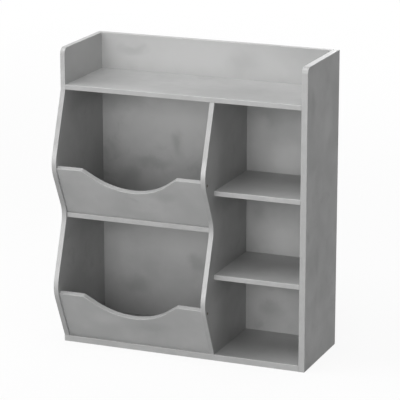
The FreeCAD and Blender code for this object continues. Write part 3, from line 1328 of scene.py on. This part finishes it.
@dataclass
class CamLocks(Fastener):
    """Cast cam locks: a disc with a cross recess, an arrow mark and the mouth for the bolt.

    The ring and its slope, and the arrow's place and size, are shares of the lock's radius.
    """

    slot: ClassVar[Slot] = Slot.CAM
    kind: ClassVar[Kind] = Kind.LOCK
    suffix: ClassVar[str] = "cast"
    flats: int = 64
    ease: float = 0.35 * MM
    rim_depth: float = 1.9 * MM
    foot_depth: float = 1.2 * MM
    groove: float = 0.9 * MM
    groove_slope: float = 0.4 * MM
    ring: tuple[float, float] = (0.55, 0.89)
    ring_slope: float = 0.03
    mouth_radius: float = 3.3 * MM
    mouth_height: float = 3.5 * MM
    arrow_place: float = 0.73
    arrow_size: float = 0.10
    arrow_depth: float = 0.7 * MM
    recess: CrossRecess = CrossRecess(reach=1.0, arm=0.24, depth=0.36)

    def master(self, seat: Seat) -> BMesh:
        """Draws one cam lock.

        Args:
            seat: A seat that gives the lock's size.

        Returns:
            The lock's mesh.
        """
        wide, deep, ease = seat.head_radius, seat.length, self.ease
        waist = wide - self.groove
        inner, outer = self.ring
        profile = ((0, 0), (inner * wide, 0), ((inner + self.ring_slope) * wide, -ease),
                   ((outer - self.ring_slope) * wide, -ease), (outer * wide, 0), (wide - ease, 0),
                   (wide, -ease), (wide, -self.rim_depth), (waist, -self.rim_depth - self.groove_slope),
                   (waist, self.foot_depth + self.groove_slope - deep), (wide, self.foot_depth - deep),
                   (wide, ease - deep), (wide - ease, -deep), (0, -deep))
        drawn = Shapes.turned(profile, self.flats)
        tools = [self.mouth(wide, deep), self.arrow(wide), *self.recess.blades(wide)]
        return self.recessed(drawn, tools)

    def mouth(self, wide: float, deep: float) -> BMesh:
        """Makes the cutter of the hole that takes the bolt's head.

        Args:
            wide: The lock's radius.
            deep: The lock's height.

        Returns:
            A round cutter that lies along X.
        """
        wall = self.mouth_radius
        tool = Shapes.turned(((0, 0), (wall, 0), (wall, 2 * wide), (0, 2 * wide)), self.flats // 2)
        lying = Matrix.Rotation(math.pi / 2, 3, "Y")
        bmesh.ops.rotate(tool, cent=(0, 0, 0), matrix=lying, verts=tool.verts[:])
        bmesh.ops.translate(tool, vec=(0, 0, self.mouth_height - deep), verts=tool.verts[:])
        return tool

    def arrow(self, wide: float) -> BMesh:
        """Makes the cutter of the small arrow that shows which way the mouth looks.

        Args:
            wide: The lock's radius.

        Returns:
            A three-sided cutter.
        """
        tool = bmesh.new()
        size = self.arrow_size * wide
        bmesh.ops.create_cone(tool, cap_ends=True, segments=3, radius1=size, radius2=size,
                              depth=2 * self.arrow_depth)
        bmesh.ops.translate(tool, vec=(self.arrow_place * wide, 0, 0), verts=tool.verts[:])
        return tool


@dataclass
class CamBolts(Fastener):
    """Plated cam bolts: a coarse thread, a collar, a slim neck and a round head.

    The head's steps are shares of its radius and its length. The other shares are of the head's radius for
    the neck and the body, of the thread's radius for its root and tip, and of the pitch for the lead and
    the ridge.
    """

    slot: ClassVar[Slot] = Slot.BOLT
    kind: ClassVar[Kind] = Kind.BOLT
    suffix: ClassVar[str] = "turned"
    flats: int = 36
    head_steps: Profile = ((0.6, 0.0), (0.95, 0.2), (1.0, 0.6), (0.9, 1.0))
    head_end: float = 2.6 * MM
    neck_start: float = 3.4 * MM
    neck_end: float = 7.0 * MM
    body_start: float = 8.0 * MM
    collar: float = 1.2 * MM
    collar_slope: float = 0.4 * MM
    pitch: float = 1.3 * MM
    ridge: tuple[float, float] = (0.4, 0.6)
    lead_share: float = 0.25
    tip: float = 0.6 * MM
    tip_share: float = 0.5
    neck_share: float = 0.55
    body_share: float = 0.8
    root_share: float = 0.72

    def master(self, seat: Seat) -> BMesh:
        """Draws one cam bolt down from its head.

        Args:
            seat: A seat that gives the bolt's size.

        Returns:
            The bolt's mesh.
        """
        head, thread, whole = seat.head_radius, seat.radius, seat.length
        start = whole - self.joinery.bolt_thread
        neck, body, root = self.neck_share * head, self.body_share * head, self.root_share * thread
        profile = [(0, 0)]
        profile += [(wide * head, -down * self.head_end) for wide, down in self.head_steps]
        profile += [(neck, -self.neck_start), (neck, -self.neck_end), (body, -self.body_start),
                    (body, self.collar + self.collar_slope - start), (head, self.collar - start),
                    (head, -start)]
        first = start + self.lead_share * self.pitch
        for turn in range(int((whole - self.tip - first) / self.pitch)):
            at = first + turn * self.pitch
            profile += [(root, -at), *((thread, -at - share * self.pitch) for share in self.ridge)]
        profile += [(root, self.tip - whole), (self.tip_share * thread, -whole), (0, -whole)]
        return Shapes.turned(profile, self.flats)


@dataclass
class Dowels(Fastener):
    """Beech dowels with straight flutes and eased ends."""

    slot: ClassVar[Slot] = Slot.DOWEL
    kind: ClassVar[Kind] = Kind.DOWEL
    suffix: ClassVar[str] = "fluted"
    flutes: int = 20
    flute_points: int = 3
    flute_depth: float = 0.07
    ease: float = 0.9 * MM
    tip_share: float = 0.8

    def master(self, seat: Seat) -> BMesh:
        """Draws one fluted dowel.

        Args:
            seat: A seat that gives the dowel's size.

        Returns:
            The dowel's mesh.
        """
        mesh = bmesh.new()
        bmesh.ops.create_circle(mesh, cap_ends=False, segments=self.flute_points * self.flutes,
                                radius=seat.head_radius)
        for vert in list(mesh.verts)[::self.flute_points]:
            vert.co *= 1 - self.flute_depth
        bmesh.ops.scale(mesh, vec=(self.tip_share, self.tip_share, 1), verts=mesh.verts[:])
        ring = mesh.edges[:]
        for drop, grow in ((self.ease, 1 / self.tip_share), (seat.length - 2 * self.ease, 1.0),
                           (self.ease, self.tip_share)):
            raised = bmesh.ops.extrude_edge_only(mesh, edges=ring)
            points = Shapes.parts(raised, "geom", BMVert)
            ring = Shapes.parts(raised, "geom", BMEdge)
            bmesh.ops.translate(mesh, vec=(0, 0, -drop), verts=points)
            bmesh.ops.scale(mesh, vec=(grow, grow, 1), verts=points)
        rims = [edge for edge in mesh.edges if edge.is_boundary]
        bmesh.ops.holes_fill(mesh, edges=rims, sides=0)
        bmesh.ops.recalc_face_normals(mesh, faces=mesh.faces[:])
        return mesh


@dataclass(frozen=True)
class Finishes:
    """Materials that several boards share."""

    band: Material
    eased: Material
    raw: Material

    @classmethod
    def mixed(cls, label: str, raw: Material, smudges: tuple[Smudge, ...] = ()) -> "Finishes":
        """Builds the materials of the boards' edges.

        Args:
            label: What the materials' names start with.
            raw: The bare board in the bores.
            smudges: Patches in the paint of the edges.

        Returns:
            The edges' materials and the bare board.
        """
        return cls(BandPaint(label + "_band", smudges).material(),
                   EasedPaint(label + "_eased_edge", smudges).material(), raw)


@dataclass(frozen=True)
class Case:
    """Planes of the whole unit, read from the frame, in metres."""

    left: float
    left_inner: float
    divider_left: float
    divider_right: float
    right_inner: float
    right: float
    front: float
    back: float
    rear: float
    base_top: float
    bin_floor: float
    shelf_bottom: float
    top: float

    @classmethod
    def read(cls) -> "Case":
        """Reads the planes from the frame's boards.

        Returns:
            The planes.
        """
        left_low, left_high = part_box("left_side_panel")
        divider_low, divider_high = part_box("divider_panel")
        right_low, right_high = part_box("right_side_panel")
        shelf_low, shelf_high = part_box("top_shelf")
        return cls(left=left_low.x, left_inner=left_high.x, divider_left=divider_low.x,
                   divider_right=divider_high.x, right_inner=right_low.x, right=right_high.x,
                   front=shelf_low.y, back=shelf_high.y, rear=left_high.y, base_top=left_low.z,
                   bin_floor=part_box("upper_bin_floor")[1].z, shelf_bottom=shelf_low.z, top=right_high.z)


@dataclass(frozen=True)
class Wave:
    """Front edge of the left side panel and the divider: where its straight runs would meet.

    Attributes:
        depth: How far the crests stand out in front of the shelves.
        upper_rise: How high the upper crest is above the upper bin's floor.
        drop: How far the waist lies below that floor.
        lower_rise: How high the lower crest is above the lower bin's floor.
        bulge_radius: Radius that rounds the crests.
        waist_radius: Radius that rounds the waist.
    """

    depth: float = 62.0 * MM
    upper_rise: float = 125.0 * MM
    drop: float = 2.0 * MM
    lower_rise: float = 133.0 * MM
    bulge_radius: float = 70.0 * MM
    waist_radius: float = 58.0 * MM

    def corners(self, case: Case) -> list[Corner]:
        """Places the wave's corners from the top shelf down to the base board.

        Args:
            case: The unit's planes.

        Returns:
            The crest, the waist, the lower crest and the foot.
        """
        crest = case.front - self.depth
        return [Corner(crest, case.bin_floor + self.upper_rise, self.bulge_radius),
                Corner(case.front, case.bin_floor - self.drop, self.waist_radius),
                Corner(crest, case.base_top + self.lower_rise, self.bulge_radius),
                Corner(case.front, case.base_top)]


class EdgeRule(Protocol):
    """Says how far each edge of a board is eased."""

    def share(self, first: Vector, second: Vector) -> Ease:
        """Gives the easing of the edge between two points."""
        ...


@dataclass(frozen=True)
class UprightEdges:
    """Easing of an upright panel: its seams, the height of a board that covers it, and its outer face."""

    rear: float
    bottom: float
    cover: float = math.inf
    outer: float | None = None

    def share(self, first: Vector, second: Vector) -> Ease:
        """Gives the easing of the edge between two points.

        Args:
            first: One end of the edge.
            second: Its other end.

        Returns:
            Soft at the free front and top, crisp at the outer seams and sharp where boards meet.
        """
        if abs(first.x - second.x) > ON_PLANE:
            return Ease.SHARP
        behind = min(first.y, second.y) > self.rear - ON_PLANE
        under = max(first.z, second.z) < self.bottom + ON_PLANE
        covered = min(first.z, second.z) > self.cover - ON_PLANE
        if behind or under or covered:
            outside = self.outer is not None and abs(first.x - self.outer) < ON_PLANE
            return Ease.CRISP if outside else Ease.SHARP
        return Ease.SOFT


@dataclass(frozen=True)
class ShelfEdges:
    """Easing of a shelf, of which only the two long front edges are free."""

    front: float

    def share(self, first: Vector, second: Vector) -> Ease:
        """Gives the easing of the edge between two points."""
        free = max(first.y, second.y) < self.front + ON_PLANE and abs(first.x - second.x) > ON_PLANE
        return Ease.SOFT if free else Ease.SHARP


@dataclass(frozen=True)
class BaseEdges:
    """Easing of the base board, whose left end and rear edge show too."""

    front: float
    right_end: float

    def share(self, first: Vector, second: Vector) -> Ease:
        """Gives the easing of the edge between two points.

        Args:
            first: One end of the edge.
            second: Its other end.

        Returns:
            Soft along the front, sharp at the right panel and crisp elsewhere.
        """
        if ShelfEdges(self.front).share(first, second) is Ease.SOFT:
            return Ease.SOFT
        hidden = min(first.x, second.x) > self.right_end - ON_PLANE
        return Ease.SHARP if hidden else Ease.CRISP


@dataclass(frozen=True)
class BackEdges:
    """Easing of the back panel, whose top is free and whose rear face shows its seams."""

    rear: float
    top: float

    def share(self, first: Vector, second: Vector) -> Ease:
        """Gives the easing of the edge between two points.

        Args:
            first: One end of the edge.
            second: Its other end.

        Returns:
            Soft along the top, crisp at the rear seams and sharp inside.
        """
        if abs(first.y - second.y) > ON_PLANE:
            return Ease.SHARP
        if min(first.z, second.z) > self.top - ON_PLANE:
            return Ease.SOFT
        return Ease.CRISP if first.y > self.rear - ON_PLANE else Ease.SHARP


@dataclass(frozen=True)
class ScoopEdges:
    """Easing of a bin front, of which the two long edges of its scooped top are free."""

    floor: float
    out: Vector

    def share(self, first: Vector, second: Vector) -> Ease:
        """Gives the easing of the edge between two points.

        Args:
            first: One end of the edge.
            second: Its other end.

        Returns:
            Soft along the scooped top, sharp at the ends, at the foot and through the board.
        """
        through = abs((second - first).dot(self.out)) > MERGE
        end = abs(first.x - second.x) < MERGE
        foot = max(first.z, second.z) < self.floor + ON_PLANE
        return Ease.SHARP if through or end or foot else Ease.SOFT


@dataclass
class Boards:
    """Base of the sub-assemblies that are made of boards."""

    side: ClassVar[Side]
    joinery: Joinery
    finishes: Finishes
    case: Case
    ease: float = 1.2 * MM
    ease_steps: int = 4
    drift_scale: float = 7.3
    warp: float = 22.0 * MM

    def smudges(self, node: str) -> tuple[Smudge, ...]:
        """Puts a board's marks and its patches of painted light and shade on the side of it that shows."""
        return tuple(mark_and_light.on(self.side, node) for mark_and_light in STAINS_AND_PAINTED_LIGHT.get(node, ()))

    def board(self, node: str, mesh: BMesh, thickness_way: Vector, rule: EdgeRule) -> None:
        """Eases, bores and paints one board.

        Args:
            node: The node that the board stands for.
            mesh: The board's mesh with sharp edges, in the frame's coordinates.
            thickness_way: The way through the board's thickness.
            rule: Says how far each edge is eased.
        """
        low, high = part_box(node)
        weights = mesh.edges.layers.float.new("bevel_weight_edge")
        for edge in mesh.edges:
            edge[weights] = rule.share(edge.verts[0].co, edge.verts[1].co).value
        paint = self.paint(node, thickness_way)
        piece = Bench.piece(node + "_painted", mesh, [paint, self.finishes.band, self.finishes.eased])
        self.ease_edges(piece)
        cutters = self.joinery.bores(node, low, high, self.finishes.raw)
        for cutter in cutters:
            Bench.carve(piece, cutter)
        Bench.apply(piece, cutters)
        self.dress(piece, thickness_way)
        Bench.finish(piece, Slot.BOARD, node)

    def paint(self, node: str, thickness_way: Vector) -> Material:
        """Mixes the paint of a board's faces, whose clouds differ from board to board.

        Args:
            node: The board's node.
            thickness_way: The way through the board's thickness, along which no patch is pulled about.

        Returns:
            The paint.
        """
        low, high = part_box(node)
        drift = tuple((low + high) * self.drift_scale)
        warp = tuple(self.warp * (1 - abs(way)) for way in thickness_way)
        return CloudyPaint("cloudy_grey_" + node, drift, self.smudges(node), warp).material()

    def ease_edges(self, piece: Object) -> None:
        """Rounds a board's edges, each as far as its weight says.

        Args:
            piece: The board.
        """
        soft = piece.modifiers.new("ease", "BEVEL")
        soft.limit_method = "WEIGHT"
        soft.width = self.ease
        soft.segments = self.ease_steps
        soft.profile = 0.5
        soft.use_clamp_overlap = False

    def dress(self, piece: Object, thickness_way: Vector) -> None:
        """Gives a board's faces, narrow edges and eased edges their own materials.

        Args:
            piece: The board.
            thickness_way: The way through the board's thickness.
        """
        for face in piece.data.polygons:
            if piece.data.materials[face.material_index] is self.finishes.raw:
                continue
            lean = abs(face.normal.dot(thickness_way))
            coat = Coat.FACE if lean > FACE_LEAN else Coat.BAND if lean < BAND_LEAN else Coat.EASED
            face.material_index = coat.value


@dataclass
class Uprights(Boards):
    """Base of the upright panels."""

    side: ClassVar[Side] = Side.RIGHT
    corner_radius: float = 15.0 * MM

    def panel(self, node: str, low: float, high: float, corners: Sequence[Corner], rule: EdgeRule) -> None:
        """Makes one upright panel.

        Args:
            node: The node that it stands for.
            low: Where its left face lies.
            high: Where its right face lies.
            corners: Its outline, with across running from front to back.
            rule: Says how far each edge is eased.
        """
        mesh = Shapes.slab(corners, high - low)
        stand = Matrix(((0, 0, 1, low), (1, 0, 0, 0), (0, 1, 0, 0), (0, 0, 0, 1)))
        bmesh.ops.transform(mesh, matrix=stand, verts=mesh.verts[:])
        self.board(node, mesh, Vector((1, 0, 0)), rule)


@dataclass
class WavePanels(Uprights):
    """The left side panel and the divider, which share one wavy front edge."""

    wave: Wave = Wave()

    def build(self) -> None:
        """Makes both wavy panels."""
        case = self.case
        waves = self.wave.corners(case)
        self.panel("left_side_panel", case.left, case.left_inner,
                   [Corner(case.rear, case.base_top), Corner(case.rear, case.top),
                    Corner(case.front, case.top, self.corner_radius),
                    Corner(case.front, case.shelf_bottom), *waves],
                   UprightEdges(case.rear, case.base_top, outer=case.left))
        self.panel("divider_panel", case.divider_left, case.divider_right,
                   [Corner(case.back, case.base_top), Corner(case.back, case.shelf_bottom),
                    Corner(case.front, case.shelf_bottom), *waves],
                   UprightEdges(case.back, case.base_top, cover=case.shelf_bottom))


@dataclass
class RightPanel(Uprights):
    """The straight right side panel, which stands on the floor."""

    def build(self) -> None:
        """Makes the panel."""
        case = self.case
        self.panel("right_side_panel", case.right_inner, case.right,
                   [Corner(case.rear, 0), Corner(case.rear, case.top),
                    Corner(case.front, case.top, self.corner_radius), Corner(case.front, 0)],
                   UprightEdges(case.rear, 0, outer=case.right))


@dataclass
class LevelBoards(Boards):
    """The top shelf, the upper bin's floor, the two cubby shelves and the base board."""

    side: ClassVar[Side] = Side.TOP
    shelves: tuple[str, ...] = ("top_shelf", "upper_bin_floor", "upper_cubby_shelf", "lower_cubby_shelf")
    base: str = "base_board"

    def build(self) -> None:
        """Makes the five level boards."""
        for node in self.shelves:
            self.level(node, ShelfEdges(self.case.front))
        self.level(self.base, BaseEdges(self.case.front, self.case.right_inner))

    def level(self, node: str, rule: EdgeRule) -> None:
        """Makes one level board.

        Args:
            node: The node that it stands for, which gives its size.
            rule: Says how far each edge is eased.
        """
        low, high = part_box(node)
        corners = Corner.box(low.x, low.y, high.x, high.y)
        mesh = Shapes.slab(corners, high.z - low.z)
        bmesh.ops.translate(mesh, vec=(0, 0, low.z), verts=mesh.verts[:])
        self.board(node, mesh, Vector((0, 0, 1)), rule)


@dataclass
class BackPanel(Boards):
    """The back, set between the side panels and standing on the base board."""

    side: ClassVar[Side] = Side.FRONT
    node: str = "back_panel"

    def build(self) -> None:
        """Makes the back panel."""
        low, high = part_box(self.node)
        corners = Corner.box(low.z, low.x, high.z, high.x)
        mesh = Shapes.slab(corners, high.y - low.y)
        stand = Matrix(((0, 1, 0, 0), (0, 0, 1, low.y), (1, 0, 0, 0), (0, 0, 0, 1)))
        bmesh.ops.transform(mesh, matrix=stand, verts=mesh.verts[:])
        self.board(self.node, mesh, Vector((0, 1, 0)), BackEdges(self.case.rear, self.case.top))


@dataclass
class BinFronts(Boards):
    """The two slanted bin fronts with their hand scoops."""

    wave: Wave = Wave()
    height: float = 139.0 * MM
    inset: float = 5.0 * MM
    scoop_width: float = 240.0 * MM
    scoop_depth: float = 53.0 * MM
    flank_angle: float = math.radians(38.0)
    shoulder_radius: float = 10.0 * MM

    def smudges(self, node: str) -> tuple[Smudge, ...]:
        """Gives a front's patches, which are placed in all three directions because it leans."""
        return FRONT_SMUDGES[node]

    def build(self) -> None:
        """Makes both bin fronts."""
        upper, lower, wave = self.case.bin_floor, self.case.base_top, self.wave
        self.front("upper_bin_front", upper, upper - wave.drop, upper + wave.upper_rise)
        self.front("lower_bin_front", lower, lower, lower + wave.lower_rise)

    def front(self, node: str, floor: float, foot: float, crest: float) -> None:
        """Makes one front, which leans out with the panels' run and stands level on its floor.

        Args:
            node: The node that it stands for.
            floor: How high its floor lies.
            foot: Where the panels' run starts.
            crest: Where the run would end.
        """
        case = self.case
        lean = math.atan2(self.wave.depth, crest - foot)
        thickness = case.left_inner - case.left
        mesh = Shapes.slab(self.corners(thickness), thickness)
        back = case.front - (floor - foot) * math.tan(lean) + (self.inset + thickness) / math.cos(lean)
        place = Matrix.Translation((case.left_inner, back, floor))
        stand = place @ Matrix.Rotation(lean + math.pi / 2, 4, "X")
        bmesh.ops.transform(mesh, matrix=stand, verts=mesh.verts[:])
        whole = mesh.verts[:] + mesh.edges[:] + mesh.faces[:]
        cut = bmesh.ops.bisect_plane(mesh, geom=whole, dist=FINE_MERGE, plane_co=(0, 0, floor),
                                     plane_no=(0, 0, 1), clear_inner=True)
        bmesh.ops.holes_fill(mesh, edges=Shapes.parts(cut, "geom_cut", BMEdge), sides=0)
        bmesh.ops.recalc_face_normals(mesh, faces=mesh.faces[:])
        out = Matrix.Rotation(lean, 3, "X") @ Vector((0, -1, 0))
        self.board(node, mesh, out, ScoopEdges(floor, out))

    def corners(self, spare: float) -> list[Corner]:
        """Outlines a front with its scoop.

        Args:
            spare: How much longer its foot is than it ends up.

        Returns:
            The outline's corners, from the foot up.
        """
        wide = self.case.divider_left - self.case.left_inner
        middle, half = wide / 2, self.scoop_width / 2
        drop = half * math.tan(self.flank_angle)
        radius = (drop - self.scoop_depth) * math.cos(self.flank_angle) / (1 - math.cos(self.flank_angle))
        return [Corner(0, -spare), Corner(wide, -spare), Corner(wide, self.height),
                Corner(middle + half, self.height, self.shoulder_radius),
                Corner(middle, self.height - drop, radius),
                Corner(middle - half, self.height, self.shoulder_radius), Corner(0, self.height)]


@dataclass(frozen=True)
class Softbox:
    """A large soft lamp that looks at the middle of the unit."""

    name: str
    place: tuple[float, float, float]
    size: float
    power: float

    def build(self, aim: Vector) -> None:
        """Hangs the lamp.

        Args:
            aim: The point that it looks at.
        """
        data = bpy.data.lights.new(self.name, "AREA")
        data.shape = "SQUARE"
        data.size = self.size
        data.energy = self.power
        lamp = bpy.data.objects.new(self.name, data)
        lamp.location = self.place
        lamp.rotation_euler = (aim - lamp.location).to_track_quat("-Z", "Y").to_euler()
        bpy.context.scene.collection.objects.link(lamp)


@dataclass(frozen=True)
class Studio:
    """White floor, even light all round, soft lamps and the camera.

    The camera's reach is its focal length in pixels of a picture that is image_width pixels wide.
    """

    lamps: tuple[Softbox, ...] = (
        Softbox("front_softbox", (0.0, -3.91, 1.19), 2.4, 72.0),
        Softbox("left_softbox", (-2.45, -1.41, 3.19), 2.4, 52.0),
        Softbox("top_softbox", (0.0, -0.83, 4.27), 3.5, 95.0),
        Softbox("rear_softbox", (0.20, 3.85, 1.60), 2.4, 42.0),
    )
    surround: float = 0.075
    floor_size: float = 14.0
    floor_tone: float = 0.38
    floor_seen_tone: float = 0.95
    floor_roughness: float = 0.9
    floor_shadow_share: float = 0.10
    floor_fade: tuple[float, float] = (0.9, 4.5)
    camera_place: tuple[float, float, float] = (1.91398, -4.69443, 1.74998)
    camera_yaw: float = math.radians(22.0479)
    camera_pitch: float = math.radians(15.2875)
    camera_reach: float = 2219.36
    image_width: float = 400.0
    sensor_width: float = 36.0
    view_end: float = 100.0

    def build(self) -> None:
        """Sets up the floor, the light and the camera."""
        low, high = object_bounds()
        for lamp in self.lamps:
            lamp.build((low + high) / 2)
        self.world()
        self.floor()
        self.camera()
        bpy.context.scene.view_settings.view_transform = "Standard"

    def world(self) -> None:
        """Lights the world evenly, and shows it white where it is seen."""
        world = bpy.data.worlds.new("studio")
        world.use_nodes = True
        nodes = Nodes(world.node_tree)
        even = nodes.tree.nodes["Background"]
        even.inputs["Strength"].default_value = self.surround
        white = nodes.new("Background")
        for background in (even, white):
            background.inputs["Color"].default_value = (1, 1, 1, 1)
        mix = nodes.mixed(nodes.seen(), even.outputs["Background"], white.outputs["Background"])
        nodes.link(mix, nodes.tree.nodes["World Output"].inputs["Surface"])
        bpy.context.scene.world = world

    def floor(self) -> None:
        """Lays the floor, which shows white with a faint shadow and lets views from below through."""
        mesh = bmesh.new()
        bmesh.ops.create_grid(mesh, x_segments=1, y_segments=1, size=self.floor_size / 2)
        graph = Graph("studio_floor")
        graph.shader.inputs["Roughness"].default_value = self.floor_roughness
        seen = graph.seen()
        graph.feed("Base Color", graph.spread(seen, 0.0, 1.0, self.floor_tone, self.floor_seen_tone))
        glow = graph.new("Emission").outputs["Emission"]
        clear = graph.new("BsdfTransparent").outputs["BSDF"]
        under = graph.new("NewGeometry").outputs["Backfacing"]
        lit = graph.mixed(self.fade(graph, seen), graph.shader.outputs["BSDF"], glow)
        graph.link(graph.mixed(under, lit, clear), graph.tree.nodes["Material Output"].inputs["Surface"])
        Bench.piece("studio_floor", mesh, [graph.material])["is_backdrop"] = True

    def fade(self, graph: Graph, seen: NodeSocket) -> NodeSocket:
        """Lets the shadow on the floor fade out towards the horizon.

        Args:
            graph: The floor's material.
            seen: 1 for rays that show the background.

        Returns:
            How much of the floor glows white, 1 far from the unit.
        """
        length = graph.vectors("LENGTH", graph.place).outputs["Value"]
        glow = graph.spread(length, *self.floor_fade, 1 - self.floor_shadow_share, 1.0)
        return graph.maths("MULTIPLY", seen, glow)

    def camera(self) -> None:
        """Puts the camera where the photograph was taken from."""
        data = bpy.data.cameras.new("camera")
        data.sensor_width = self.sensor_width
        data.lens = self.camera_reach * self.sensor_width / self.image_width
        data.clip_end = self.view_end
        camera = bpy.data.objects.new("camera", data)
        camera.location = self.camera_place
        level, drop = math.cos(self.camera_pitch), math.sin(self.camera_pitch)
        way = Vector((-math.sin(self.camera_yaw) * level, math.cos(self.camera_yaw) * level, -drop))
        camera.rotation_euler = way.to_track_quat("-Z", "Y").to_euler()
        bpy.context.scene.collection.objects.link(camera)
        bpy.context.scene.camera = camera


def main() -> None:
    """Builds the object's sub-assemblies and the studio."""
    logging.basicConfig(level=logging.INFO, format="%(name)s: %(message)s")
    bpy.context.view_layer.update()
    case = Case.read()
    joinery = Joinery()
    wave = Wave()
    raw = RawBoard().material()
    grey = Finishes.mixed("grey", raw)
    # The wavy edges' finishes carry painted highlight and shade, and the scoop rims' finishes painted shade.
    wear_and_painted_light = Finishes.mixed("grey_wave", raw, WAVE_PAINTED_LIGHT)
    shaded = Finishes.mixed("grey_scoop", raw, SCOOP_PAINTED_SHADE)
    WavePanels(joinery, wear_and_painted_light, case, wave=wave).build()
    RightPanel(joinery, grey, case).build()
    LevelBoards(joinery, grey, case).build()
    BackPanel(joinery, grey, case).build()
    BinFronts(joinery, shaded, case, wave=wave).build()
    CamLocks(joinery, CAST_ZINC.material()).build()
    CamBolts(joinery, PLATED_STEEL.material()).build()
    Screws(joinery, DARKENED_STEEL.material()).build()
    Dowels(joinery, TurnedBeech().material()).build()
    Studio().build()


if __name__ == "__main__":
    main()
